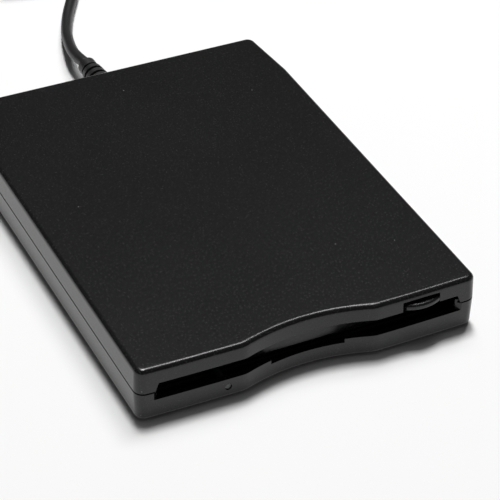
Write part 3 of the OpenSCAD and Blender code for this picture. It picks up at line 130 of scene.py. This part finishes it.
BLACK_OXIDE = (0.05, 0.05, 0.055)
DRAWN_STEEL = (0.5, 0.5, 0.52)
SCREW_ZINC = (0.55, 0.55, 0.56)
ROLLED_STEEL = (0.58, 0.58, 0.6)
TURNED_STEEL = (0.6, 0.6, 0.62)
GROUND_STEEL = (0.62, 0.62, 0.64)
NICKEL = (0.66, 0.65, 0.63)
BRONZE = (0.5, 0.36, 0.18)
COPPER = (0.62, 0.26, 0.1)
GOLD = (0.8, 0.52, 0.16)
FERRITE = (0.035, 0.035, 0.038)
CERAMIC = (0.09, 0.07, 0.055)
AMBER_FILM = (0.42, 0.19, 0.04)
GREY_FILM = (0.62, 0.62, 0.6)
WHITE_RESIN = (0.7, 0.7, 0.66)
TONGUE_WHITE = (0.72, 0.72, 0.7)
LAMP_GREEN = (0.35, 0.42, 0.3)
ARM_BLACK = (0.035, 0.035, 0.036)
CARRIAGE_BLACK = (0.03, 0.03, 0.031)
SWITCH_BLACK = (0.02, 0.02, 0.021)
CHIP_BLACK = (0.018, 0.018, 0.019)
WIRE_RED = (0.4, 0.03, 0.025)
TINNED_VIA = (0.62, 0.6, 0.52)
DUST = (0.3, 0.3, 0.29)
LINT = (0.22, 0.22, 0.22)


def shade(colour, factor):
    """A colour made lighter or darker."""
    return tuple(min(1, c * factor) for c in colour)


# Shader building

RAYS = 6  # cast from each point to find the edges and pieces near it


class Sock:
    """A socket of a node tree: sums, products and comparisons on it add Math nodes."""

    def __init__(self, tree, link):
        self.tree = tree
        self.link = link

    def __add__(self, other):
        return self.tree.maths("ADD", self, other)

    def __radd__(self, other):
        return self.tree.maths("ADD", other, self)

    def __sub__(self, other):
        return self.tree.maths("SUBTRACT", self, other)

    def __rsub__(self, other):
        return self.tree.maths("SUBTRACT", other, self)

    def __mul__(self, other):
        return self.tree.maths("MULTIPLY", self, other)

    def __rmul__(self, other):
        return self.tree.maths("MULTIPLY", other, self)

    def __gt__(self, other):
        return self.tree.maths("GREATER_THAN", self, other)

    def __lt__(self, other):
        return self.tree.maths("LESS_THAN", self, other)


class Tree:
    """A node tree that is filled by one method for every kind of node."""

    def __init__(self, owner):
        owner.use_nodes = True
        self.nodes = owner.node_tree.nodes
        self.links = owner.node_tree.links
        self.nodes.clear()

    def node(self, kind, settings=None, inputs=None, out=0):
        """Adds a node with its settings and inputs, and gives the output that is asked for."""
        made = self.nodes.new(kind)
        for key, value in (settings or {}).items():
            if key == "stops":
                self.set_stops(made.color_ramp.elements, value)
            else:
                setattr(made, key, value)
        for key, value in (inputs or {}).items():
            self.put(made.inputs[key], value)
        return Sock(self, made.outputs[out]) if made.outputs else None

    def set_stops(self, elements, stops):
        for i, (at, grey) in enumerate(stops):
            stop = elements[i] if i < len(elements) else elements.new(at)
            stop.position, stop.color = at, (grey, grey, grey, 1)

    def put(self, socket, value):
        if isinstance(value, Sock):
            self.links.new(value.link, socket)
        elif hasattr(value, "__len__") and len(value) == 3 and len(socket.default_value) == 4:
            socket.default_value = (*value, 1)
        else:
            socket.default_value = value

    def maths(self, operation, a, b):
        return self.node("ShaderNodeMath", {"operation": operation}, {0: a, 1: b})

    def clamp(self, a):
        return self.node("ShaderNodeClamp", {}, {0: a})

    def ray(self, kind):
        return self.node("ShaderNodeLightPath", {}, {}, kind)

    def between(self, share, a, b):
        """A level between two levels: a Mix node's values are its inputs 2 and 3."""
        return self.node("ShaderNodeMix", {"data_type": "FLOAT"}, {0: share, 2: a, 3: b})

    def mix(self, share, a, b):
        """A colour between two colours: a Mix node's colours are its inputs 6 and 7, and its output 2."""
        return self.node("ShaderNodeMix", {"data_type": "RGBA"}, {0: share, 6: a, 7: b}, 2)


class Finish(Tree):
    """A material with its Principled shader, and the few calls that its texture is written with."""

    def __init__(self, name):
        self.material = bpy.data.materials.new(name)
        super().__init__(self.material)
        self.out = self.nodes.new("ShaderNodeOutputMaterial")
        self.shader = self.nodes.new("ShaderNodeBsdfPrincipled")
        self.links.new(self.shader.outputs[0], self.out.inputs[0])

    def place(self, shares=None):
        """The object's own coordinates. A pattern is drawn out along an axis whose share is below 1."""
        at = self.node("ShaderNodeTexCoord", {}, {}, "Object")
        if shares is None:
            return at
        return self.node("ShaderNodeVectorMath", {"operation": "MULTIPLY"}, {0: at, 1: shares})

    def noise(self, at, size, detail=2, rough=0.5):
        inputs = {"Vector": at, "Scale": 1 / size, "Detail": detail, "Roughness": rough}
        return self.node("ShaderNodeTexNoise", {}, inputs)

    def cells(self, at, room, out="Distance", settings=None):
        return self.node("ShaderNodeTexVoronoi", settings or {}, {"Vector": at, "Scale": 1 / room}, out)

    def motes(self, at, room, radius, missing):
        """Small spots, one in each cell of the room but for the missing share of the cells."""
        return (self.cells(at, room) < radius) * (self.cells(at, room, "Color") > missing)

    def ramp(self, a, *stops):
        return self.node("ShaderNodeValToRGB", {"stops": stops}, {0: a})

    def marks(self, at, size, start, full, detail=2, rough=0.5):
        """Patches where a noise is high: none below the start, and whole above the full value."""
        return self.ramp(self.noise(at, size, detail, rough), (start, 0), (full, 1))

    def swing(self, noise, spread):
        """What a noise adds to a level: half the spread above and below it at most."""
        return spread * (noise - 0.5)

    def rounded(self, radius):
        return self.node("ShaderNodeBevel", {"samples": RAYS}, {"Radius": radius})

    def bump(self, height, distance, strength=1, under=None):
        inputs = {"Height": height, "Distance": distance, "Strength": strength}
        if under is not None:
            inputs["Normal"] = under
        return self.node("ShaderNodeBump", {}, inputs)

    def give(self, **sockets):
        """Sets or links the shader's inputs, named as in base_color."""
        for key, value in sockets.items():
            self.put(self.shader.inputs[key.replace("_", " ").title().replace("Ior", "IOR")], value)
        return self.material

    def seen_white(self, share, reach):
        """Lets gloss and glass see a share of plain white in place of the lit surface.

        The share falls to nothing within reach of what stands on the surface.
        """
        seen = self.clamp(self.ray("Is Glossy Ray") + self.ray("Is Transmission Ray"))
        open_air = self.node("ShaderNodeAmbientOcclusion", {"samples": RAYS}, {"Distance": reach}, "AO")
        white = self.node("ShaderNodeEmission", {}, {"Color": (1, 1, 1), "Strength": 1.0})
        lit = Sock(self, self.shader.outputs[0])
        both = self.node("ShaderNodeMixShader", {}, {0: seen * open_air * share, 1: lit, 2: white})
        self.links.new(both.link, self.out.inputs[0])


# Finishes

def moulded(name, colour, rough=0.23, dust=1.0, edge=None):
    """Moulded plastic with a fine spark-eroded grain, pale flecks painted into the colour as glints of the
    grain, and a little dust with a few hairs.
    """
    f = Finish(name)
    at = f.place()
    grain = f.noise(at, size=sizes().grain, rough=0.6)
    # Pale flecks painted into the base colour stand for glints of the grain: painted highlights, not a colour
    # of the plastic.
    painted_glint = f.marks(at, size=sizes().grain * 1.1, start=0.59, full=0.73, detail=1)
    broad = f.noise(at, size=0.03, detail=3)
    dark, light, painted_glint_grey = shade(colour, 0.8), shade(colour, 1.2), shade(colour, 3.2)
    base = f.mix(painted_glint, f.mix(broad * 0.4, dark, light), painted_glint_grey)
    mote = f.motes(at, room=0.0075, radius=0.028, missing=0.62)
    hair = f.cells(f.place((1, 0.16, 1)), room=0.012) < 0.012
    mote_cover, hair_cover = 0.45 * dust, 0.12 * dust
    base = f.mix(f.clamp(mote * mote_cover + hair * hair_cover), base, DUST)
    roughness = rough + f.swing(broad, spread=0.03) + f.swing(grain, spread=0.1)
    round_edge = f.rounded(sizes().edge if edge is None else edge)
    normal = f.bump(grain, distance=0.00004, strength=0.42, under=round_edge)
    return f.give(base_color=base, roughness=roughness, normal=normal, ior=1.45)


def rubber(name, colour, rough=0.6, skin_size=0.0006):
    """Matte rubber with a skin that picks up dust."""
    f = Finish(name)
    at = f.place()
    skin = f.noise(at, size=skin_size, detail=3, rough=0.6)
    broad = f.noise(at, size=0.012)
    lint = f.motes(at, room=0.004, radius=0.03, missing=0.7)
    base = f.mix(lint * 0.3, f.mix(broad * 0.5, shade(colour, 0.8), shade(colour, 1.6)), LINT)
    normal = f.bump(skin, distance=0.00003, strength=0.5)
    return f.give(base_color=base, roughness=rough + f.swing(broad, spread=0.2), normal=normal)


def vinyl(name, colour):
    """Extruded vinyl: smooth, with small handling scuffs."""
    f = Finish(name)
    at = f.place()
    skin = f.noise(at, size=0.0009)
    broad = f.noise(at, size=0.02)
    scuff = f.marks(f.place((1, 0.35, 1)), size=0.002, start=0.6, full=0.8, detail=3, rough=0.7)
    base = f.mix(scuff * 0.35, f.mix(broad, shade(colour, 0.85), shade(colour, 1.3)), shade(colour, 2.4))
    normal = f.bump(skin, distance=0.00003, strength=0.35)
    return f.give(base_color=base, roughness=0.38 + 0.1 * broad + 0.12 * scuff, normal=normal)


def sheet_metal(name, colour, rough=0.32, along=(1, 0.04, 1)):
    """Rolled or plated metal, brushed faintly one way, with dull patches and small marks."""
    f = Finish(name)
    brushed = f.noise(f.place(along), size=0.0005, detail=3, rough=0.6)
    patch = f.noise(f.place(), size=0.009, detail=3, rough=0.55)
    mark = f.marks(f.place((1, 0.2, 1)), size=0.0022, start=0.62, full=0.78, rough=0.6)
    base = f.mix(patch * 0.6, shade(colour, 1.08), shade(colour, 0.78))
    base = f.mix(mark * 0.3, base, shade(colour, 0.5))
    roughness = rough + 0.12 * patch + f.swing(brushed, spread=0.1) + 0.1 * mark
    normal = f.bump(brushed, distance=0.00002, strength=0.35, under=f.rounded(radius=0.00008))
    return f.give(base_color=base, metallic=1.0, roughness=roughness, normal=normal)


def turned(name, colour, rough):
    """Turned or drawn metal, with fine rings of the tool."""
    f = Finish(name)
    rings = f.noise(f.place((1, 1, 0.15)), size=0.0003)
    patch = f.noise(f.place(), size=0.006)
    base = f.mix(patch * 0.6, shade(colour, 1.05), shade(colour, 0.82))
    roughness = rough + 0.1 * patch + f.swing(rings, spread=0.08)
    normal = f.bump(rings, distance=0.00001, strength=0.4)
    return f.give(base_color=base, metallic=1.0, roughness=roughness, normal=normal)


def board(name, colour):
    """Board with tracks under its resist and tinned vias."""
    f = Finish(name)
    at = f.place()
    track = f.cells(at, room=0.0016, settings={"distance": "MANHATTAN"})
    lines = f.ramp(track, (0.18, 1), (0.24, 0))
    via = f.cells(at, room=0.0031) < 0.1
    weave = f.noise(at, size=0.0005)
    base = f.mix(via, f.mix(lines * 0.55, colour, shade(colour, 2.3)), TINNED_VIA)
    normal = f.bump(lines + weave * 0.3, distance=0.00003, strength=0.5)
    return f.give(base_color=base, metallic=0.7 * via, roughness=0.34 + 0.12 * weave, normal=normal)


def resin(name, colour, rough):
    """Moulded resin or film, with slight mottling."""
    f = Finish(name)
    at = f.place()
    fine = f.noise(at, size=0.0004)
    broad = f.noise(at, size=0.005)
    base = f.mix(broad, shade(colour, 0.85), shade(colour, 1.15))
    roughness = rough + f.swing(broad, spread=0.12) + f.swing(fine, spread=0.08)
    normal = f.bump(fine, distance=0.00002, strength=0.4)
    return f.give(base_color=base, roughness=roughness, normal=normal)


def lens_finish(name, colour):
    """Frosted light pipe, greyish while the lamp is off."""
    f = Finish(name)
    at = f.place()
    frost = f.noise(at, size=0.00025)
    base = f.mix(f.noise(at, size=0.0008, detail=1), shade(colour, 0.8), shade(colour, 1.25))
    normal = f.bump(frost, distance=0.00002, strength=0.4)
    f.give(transmission_weight=0.25, ior=1.5)
    return f.give(base_color=base, roughness=0.3 + 0.2 * frost, normal=normal)


# Smoothing of the frame's meshes

WELD_DISTANCE = 0.000002
CREASE_ANGLE = math.radians(24)


def smoother():
    """A group that joins a mesh's loose faces and shades it smooth, but for edges over an angle."""
    group = bpy.data.node_groups.new("smooth_by_edge", "GeometryNodeTree")
    group.interface.new_socket("Mesh", in_out="INPUT", socket_type="NodeSocketGeometry")
    group.interface.new_socket("Mesh", in_out="OUTPUT", socket_type="NodeSocketGeometry")
    make, link = group.nodes.new, group.links.new
    come, go = make("NodeGroupInput"), make("NodeGroupOutput")
    weld = make("GeometryNodeMergeByDistance")
    weld.inputs["Distance"].default_value = WELD_DISTANCE
    angle = make("GeometryNodeInputMeshEdgeAngle")
    flat = make("FunctionNodeCompare")
    flat.data_type, flat.operation = "FLOAT", "LESS_THAN"
    flat.inputs[1].default_value = CREASE_ANGLE
    faces, edges = make("GeometryNodeSetShadeSmooth"), make("GeometryNodeSetShadeSmooth")
    faces.domain, edges.domain = "FACE", "EDGE"
    link(come.outputs[0], weld.inputs[0])
    link(weld.outputs[0], faces.inputs[0])
    link(angle.outputs["Unsigned Angle"], flat.inputs[0])
    link(faces.outputs[0], edges.inputs[0])
    link(flat.outputs[0], edges.inputs["Shade Smooth"])
    link(edges.outputs[0], go.inputs[0])
    return group


def finish_nodes(material, *names):
    """Gives nodes of the frame their finish, and shades them smooth."""
    group = bpy.data.node_groups.get("smooth_by_edge") or smoother()
    for name in names:
        thing = nodes[name]
        thing.data.materials.clear()
        thing.data.materials.append(material)
        thing.modifiers.new("smooth", "NODES").node_group = group
        thing.modifiers.new("weighted", "WEIGHTED_NORMAL").keep_sharp = True


# Cord, in millimetres and degrees as in the part's source

LEAD = [(0, 91, 7.4), (0, 93, 7.4), (-0.4, 96.5, 7.1), (-0.4, 101, 6.5), (0.4, 106, 5.7), (1.6, 111, 4.9),
    (3.3, 117, 4.1), (5.6, 123, 3.3), (8.1, 128.7, 2.8), (10.9, 134.2, 2.6), (14.1, 139.8, 2.6),
    (17.3, 145.6, 2.6), (20.6, 151.6, 2.6), (23.8, 157.5, 2.6), (26.7, 162.7, 2.6)]
TAIL = [(24.9, 197.4, 6.8), (22.4, 201.6, 6.2), (18.9, 205.9, 5.4), (14.2, 209.7, 4.7), (8.8, 212.4, 4.2),
    (4.5, 213.4, 4), (2, 213.5, 4), (0, 213.5, 4)]
COIL_RADIUS = 22.0
COIL_TURNS = 3.16
COIL_PITCH = 4.4
COIL_RISE = 4.4
COIL_START = -29.0
COIL_STEPS = 150
CORD_STEP = 2.0
FULL_TURN = 360
QUARTER_TURN = FULL_TURN / 4
MM_PER_METRE = 1000


def coil_points(diameter):
    """The coil's line: two layers of turns, in and out again, climbing where the spiral reverses."""
    def arm(a):
        return Vector((math.cos(math.radians(a)), math.sin(math.radians(a)), 0))

    def onward(a):
        return Vector((-math.sin(math.radians(a)), math.cos(math.radians(a)), 0))

    span = COIL_TURNS * FULL_TURN
    half_width = COIL_PITCH * COIL_TURNS / 4
    outer, inner = COIL_RADIUS + half_width, COIL_RADIUS - half_width
    centre = Vector(LEAD[-1]) + diameter * onward(COIL_START) - outer * arm(COIL_START)
    points = []
    for i in range(COIL_STEPS + 1):
        a = span * i / COIL_STEPS
        past_middle = a - span / 2
        climbing = math.radians(max(-QUARTER_TURN, min(QUARTER_TURN, past_middle)))
        climb = (1 + math.sin(climbing)) / 2
        radius = inner + COIL_PITCH * abs(past_middle) / FULL_TURN
        points.append(centre + radius * arm(COIL_START + a) + Vector((0, 0, COIL_RISE * climb)))
    points.append(points[-1] + diameter * onward(COIL_START + span))
    return points


def through(points, step):
    """Points a short step apart on a smooth line through the given ones."""
    found = [points[0]]
    for i in range(len(points) - 1):
        p0, p1, p2 = points[max(i - 1, 0)], points[i], points[i + 1]
        p3 = points[min(i + 2, len(points) - 1)]
        n = max(1, round((p2 - p1).length / step))
        for k in range(1, n + 1):
            t = k / n
            found.append(0.5 * ((2 * p1) + (p2 - p0) * t + (2 * p0 - 5 * p1 + 4 * p2 - p3) * t * t
                + (3 * p1 - p0 - 3 * p2 + p3) * t ** 3))
    return found


def tubes(name, lines, radius, sides, material):
    """Tubes along some lines, closed at both ends, each with a frame that doesn't twist."""
    verts, faces = [], []
    for line in lines:
        first = len(verts)
        side = Vector((1, 0, 0))
        for i, p in enumerate(line):
            ahead = (line[min(i + 1, len(line) - 1)] - line[max(i - 1, 0)]).normalized()
            side = (side - ahead * side.dot(ahead)).normalized()
            across = ahead.cross(side)
            for k in range(sides):
                a = 2 * math.pi * k / sides
                verts.append(p + radius * (math.cos(a) * side + math.sin(a) * across))
        for i in range(len(line) - 1):
            for k in range(sides):
                a, b = first + i * sides + k, first + i * sides + (k + 1) % sides
                faces.append((a, b, b + sides, a + sides))
        last = first + (len(line) - 1) * sides
        faces.append(tuple(reversed(range(first, first + sides))))
        faces.append(tuple(range(last, last + sides)))
    mesh = bpy.data.meshes.new(name)
    mesh.from_pydata(verts, [], faces)
    mesh.polygons.foreach_set("use_smooth", [len(p.vertices) == 4 for p in mesh.polygons])
    mesh.materials.append(material)
    made = bpy.data.objects.new(name, mesh)
    bpy.context.scene.collection.objects.link(made)
    return made


class DRIVE_OT_cord(bpy.types.Operator):
    """The cord from the strain relief through its coil to the plug"""
    bl_idname = "drive.cord"
    bl_label = "Cord"

    def execute(self, context):
        diameter = sizes().cord_diameter
        coil = coil_points(diameter * MM_PER_METRE)
        line = [Vector(p) for p in LEAD] + coil + [Vector(p) for p in TAIL]
        line = [p / MM_PER_METRE for p in through(line, CORD_STEP)]
        made = tubes("cord", [line], diameter / 2, sizes().cord_sides, vinyl("cord_vinyl", colours().cord))
        length = sum((b - a).length for a, b in zip(line, line[1:]))
        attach(made, "drive")
        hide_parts("cord_lead", "cord_coil", "cord_tail")
        return {"FINISHED"}


# Finishes of the pieces

class DRIVE_OT_case(bpy.types.Operator):
    """Finishes of the two shells, their screws and feet"""
    bl_idname = "drive.case"
    bl_label = "Case"

    def execute(self, context):
        finish_nodes(moulded("case_plastic", colours().shell), "top_cover", "bottom_cover")
        finish_nodes(sheet_metal("black_screw", BLACK_OXIDE, rough=0.35), "case_screws")
        finish_nodes(rubber("feet_rubber", colours().rubber), "rubber_feet")
        return {"FINISHED"}


class DRIVE_OT_front(bpy.types.Operator):
    """Finishes of the flap, the button and the lamp"""
    bl_idname = "drive.front"
    bl_label = "Front"

    def execute(self, context):
        button = moulded("button_plastic", colours().shell, rough=0.27, dust=0.3, edge=0.0003)
        finish_nodes(button, "eject_button")
        finish_nodes(moulded("flap_plastic", colours().shell, rough=0.3, dust=0.6), "dust_flap")
        finish_nodes(lens_finish("lamp_window", colours().lens), "light_pipe")
        finish_nodes(resin("lamp_resin", LAMP_GREEN, rough=0.2), "lamp")
        finish_nodes(board("lamp_board_resist", colours().board), "lamp_board")
        return {"FINISHED"}


SPRING_WIRE = 0.00016
SPRING_TURNS = 12
SPRING_TURN_STEPS = 20
SPRING_SIDES = 8
SPRING_STUB = 0.001


def spring_line(x, z, across, start, end):
    """The line of one spring along Y: a straight stub, its turns and a second stub."""
    wound_start, wound_end = start + SPRING_STUB, end - SPRING_STUB
    steps = SPRING_TURNS * SPRING_TURN_STEPS
    wound = []
    for i in range(steps + 1):
        a = 2 * math.pi * SPRING_TURNS * i / steps
        y = wound_start + (wound_end - wound_start) * i / steps
        wound.append(Vector((x + across * math.cos(a), y, z + across * math.sin(a))))
    return [Vector((x, start, z)), Vector((x, start + SPRING_STUB / 2, z)), *wound,
        Vector((x, end - SPRING_STUB / 2, z)), Vector((x, end, z))]


def eject_springs(material):
    """The two eject springs, fixed to the cover's hooks in front and pressed by the slide plate behind."""
    lo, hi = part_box("eject_springs")
    z = (lo.z + hi.z) / 2
    across = hi.z - z - SPRING_WIRE
    centre = hi.x - across - SPRING_WIRE
    lines = [spring_line(x, z, across, lo.y, hi.y) for x in (-centre, centre)]
    made = tubes("eject_spring_pair", lines, SPRING_WIRE, SPRING_SIDES, material)
    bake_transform(made)
    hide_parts("eject_springs")


class DRIVE_OT_mechanism(bpy.types.Operator):
    """Finishes of the chassis, carrier, slide plate, lever and springs"""
    bl_idname = "drive.mechanism"
    bl_label = "Mechanism"

    def execute(self, context):
        zinc = colours().steel
        finish_nodes(sheet_metal("zinc_sheet", zinc), "chassis", "slide_plate", "disk_carrier")
        cover = sheet_metal("cover_sheet", shade(zinc, 1.1), rough=0.36, along=(0.04, 1, 1))
        finish_nodes(cover, "mechanism_cover")
        wire = turned("spring_steel", DRAWN_STEEL, rough=0.25)
        finish_nodes(wire, "flap_spring", "lever_spring")
        eject_springs(wire)
        finish_nodes(turned("screw_zinc", SCREW_ZINC, rough=0.3), "drive_screws", "cover_screws")
        finish_nodes(resin("white_moulding", WHITE_RESIN, rough=0.38),
            "latch_lever", "protect_plunger", "density_plunger", "disk_in_plunger")
        finish_nodes(resin("switch_resin", SWITCH_BLACK, rough=0.42), "sense_switches")
        return {"FINISHED"}


class DRIVE_OT_motors(bpy.types.Operator):
    """Finishes of the spindle motor, the stepper motor and its screw"""
    bl_idname = "drive.motors"
    bl_label = "Motors"

    def execute(self, context):
        finish_nodes(board("motor_board_resist", shade(colours().board, 0.8)), "motor_plate")
        finish_nodes(sheet_metal("enamelled_copper", COPPER, rough=0.3, along=(1, 1, 1)), "motor_coils")
        finish_nodes(turned("bearing_bronze", BRONZE, rough=0.35), "spindle_bearing")
        finish_nodes(turned("rotor_steel", TURNED_STEEL, rough=0.2), "spindle_rotor")
        finish_nodes(resin("ferrite", FERRITE, rough=0.55), "spindle_magnet")
        finish_nodes(turned("motor_can", DRAWN_STEEL, rough=0.3), "stepper_motor")
        finish_nodes(turned("screw_steel", ROLLED_STEEL, rough=0.18), "lead_screw")
        finish_nodes(turned("rod_steel", GROUND_STEEL, rough=0.12), "guide_rod")
        return {"FINISHED"}


class DRIVE_OT_heads(bpy.types.Operator):
    """Finishes of the head carriage, its arm and both heads"""
    bl_idname = "drive.heads"
    bl_label = "Heads"

    def execute(self, context):
        finish_nodes(resin("carriage_resin", CARRIAGE_BLACK, rough=0.45), "head_carriage")
        finish_nodes(resin("arm_resin", ARM_BLACK, rough=0.42), "head_arm")
        finish_nodes(resin("head_ceramic", CERAMIC, rough=0.15), "lower_head", "upper_head")
        finish_nodes(turned("pin_steel", TURNED_STEEL, rough=0.15), "arm_pin")
        finish_nodes(resin("flex_film", AMBER_FILM, rough=0.25), "head_flex")
        return {"FINISHED"}


class DRIVE_OT_boards(bpy.types.Operator):
    """Finishes of both boards, their chips, the ribbon and the cord's wires"""
    bl_idname = "drive.boards"
    bl_label = "Boards"

    def execute(self, context):
        finish_nodes(board("board_resist", colours().board), "main_board", "usb_board")
        finish_nodes(resin("chip_resin", CHIP_BLACK, rough=0.5), "main_chips", "usb_chips")
        finish_nodes(resin("ribbon_film", GREY_FILM, rough=0.4), "board_ribbon")
        finish_nodes(vinyl("wire_vinyl", WIRE_RED), "cord_wires")
        return {"FINISHED"}


class DRIVE_OT_plug(bpy.types.Operator):
    """Finishes of the strain relief, the tie and the plug"""
    bl_idname = "drive.plug"
    bl_label = "Plug and strain relief"

    def execute(self, context):
        soft = colours().rubber
        finish_nodes(rubber("relief_rubber", soft, rough=0.5), "cord_relief", "plug_grip")
        finish_nodes(rubber("tie_rubber", soft, rough=0.65, skin_size=0.0004), "cord_tie")
        finish_nodes(sheet_metal("plug_nickel", NICKEL, rough=0.2), "plug_shell")
        finish_nodes(resin("tongue_resin", TONGUE_WHITE, rough=0.35), "plug_tongue")
        finish_nodes(turned("contact_gold", GOLD, rough=0.2), "plug_contacts")
        return {"FINISHED"}


# Stage

FLOOR_HALF = 4
FLOOR_GREY = (0.93, 0.93, 0.93)
FLOOR_WHITE_SHARE = 0.7
FLOOR_WHITE_REACH = 0.006
LAMP_HEIGHT = 2.5
SENSOR_WIDTH = 36
NEAR, FAR = 0.01, 20


def floor_sheet():
    """The white table, which keeps the drive's shadow."""
    h = FLOOR_HALF
    mesh = bpy.data.meshes.new("floor")
    mesh.from_pydata([(-h, -h, 0), (h, -h, 0), (h, h, 0), (-h, h, 0)], [], [(0, 1, 2, 3)])
    floor = bpy.data.objects.new("floor", mesh)
    bpy.context.scene.collection.objects.link(floor)
    paper = Finish("floor_paper")
    paper.give(base_color=FLOOR_GREY, roughness=1.0, specular_ior_level=0.0)
    paper.seen_white(FLOOR_WHITE_SHARE, FLOOR_WHITE_REACH)
    mesh.materials.append(paper.material)


def room():
    """A world that is white to the camera, dim to gloss, and a faint light on all else."""
    world = bpy.data.worlds.new("room")
    bpy.context.scene.world = world
    t = Tree(world)
    level = t.between(t.ray("Is Glossy Ray"), studio().ambient, studio().dark)
    strength = t.between(t.ray("Is Camera Ray"), level, 1.0)
    back = t.node("ShaderNodeBackground", {}, {"Strength": strength})
    t.node("ShaderNodeOutputWorld", {}, {"Surface": back})


def lamp(name, place, size, power):
    """A soft box, turned to face the drive."""
    data = bpy.data.lights.new(name, "AREA")
    data.shape, data.energy = "RECTANGLE", power
    data.size, data.size_y = size
    made = bpy.data.objects.new(name, data)
    bpy.context.scene.collection.objects.link(made)
    made.location = place
    made.rotation_mode = "QUATERNION"
    made.rotation_quaternion = (-Vector(place)).to_track_quat("-Z", "Y")


def photo_camera():
    """The camera at the photo's place, turned by its three angles."""
    scene, s = bpy.context.scene, studio()
    camera = bpy.data.objects.new("camera", bpy.data.cameras.new("camera"))
    scene.collection.objects.link(camera)
    scene.camera = camera
    a, e = s.azimuth, s.elevation
    back = Vector((math.sin(a) * math.cos(e), -math.cos(a) * math.cos(e), math.sin(e)))
    right = Vector((0, 0, 1)).cross(back).normalized()
    up = back.cross(right)
    x = math.cos(s.roll) * right + math.sin(s.roll) * up
    y = -math.sin(s.roll) * right + math.cos(s.roll) * up
    camera.matrix_world = Matrix.Translation(Vector(s.place)) @ Matrix((x, y, back)).transposed().to_4x4()
    camera.data.sensor_width, camera.data.lens = SENSOR_WIDTH, s.lens
    camera.data.clip_start, camera.data.clip_end = NEAR, FAR


class DRIVE_OT_stage(bpy.types.Operator):
    """The floor, the room, the soft lights and the camera"""
    bl_idname = "drive.stage"
    bl_label = "Studio"

    def execute(self, context):
        s = studio()
        context.scene.view_settings.view_transform = "Standard"
        floor_sheet()
        room()
        lamp("key", place=(0.19, 0.57, LAMP_HEIGHT), size=(0.34, 0.6), power=s.key)
        lamp("fill", place=(0.5, 1.05, LAMP_HEIGHT), size=(0.9, 1.2), power=s.fill)
        lamp("overhead", place=(0.0, 0.1, LAMP_HEIGHT), size=(1.1, 0.6), power=s.overhead)
        lamp("strip", place=(0.98, 0.85, LAMP_HEIGHT), size=(0.36, 1.0), power=s.strip)
        photo_camera()
        return {"FINISHED"}


# Add-on

OPERATORS = (DRIVE_OT_stage, DRIVE_OT_cord, DRIVE_OT_case, DRIVE_OT_front, DRIVE_OT_mechanism,
    DRIVE_OT_motors, DRIVE_OT_heads, DRIVE_OT_boards, DRIVE_OT_plug)


class DRIVE_PT_panel(bpy.types.Panel):
    """Settings and pieces of the drive"""
    bl_label = "Floppy drive"
    bl_space_type = "VIEW_3D"
    bl_region_type = "UI"
    bl_category = "Drive"

    def draw(self, context):
        for group in (colours(), sizes(), studio()):
            column = self.layout.column()
            for key in group.__annotations__:
                column.prop(group, key)
        for operator in OPERATORS:
            self.layout.operator(operator.bl_idname)


CLASSES = (DriveColours, DriveSizes, DriveStudio, *OPERATORS, DRIVE_PT_panel)


def register():
    for cls in CLASSES:
        bpy.utils.register_class(cls)
    bpy.types.Scene.drive_colours = bpy.props.PointerProperty(type=DriveColours)
    bpy.types.Scene.drive_sizes = bpy.props.PointerProperty(type=DriveSizes)
    bpy.types.Scene.drive_studio = bpy.props.PointerProperty(type=DriveStudio)


def unregister():
    del bpy.types.Scene.drive_studio, bpy.types.Scene.drive_sizes, bpy.types.Scene.drive_colours
    for cls in reversed(CLASSES):
        bpy.utils.unregister_class(cls)


def main():
    register()
    bpy.ops.drive.stage()
    bpy.ops.drive.cord()
    bpy.ops.drive.case()
    bpy.ops.drive.front()
    bpy.ops.drive.mechanism()
    bpy.ops.drive.motors()
    bpy.ops.drive.heads()
    bpy.ops.drive.boards()
    bpy.ops.drive.plug()


if __name__ == "__main__":
    main()
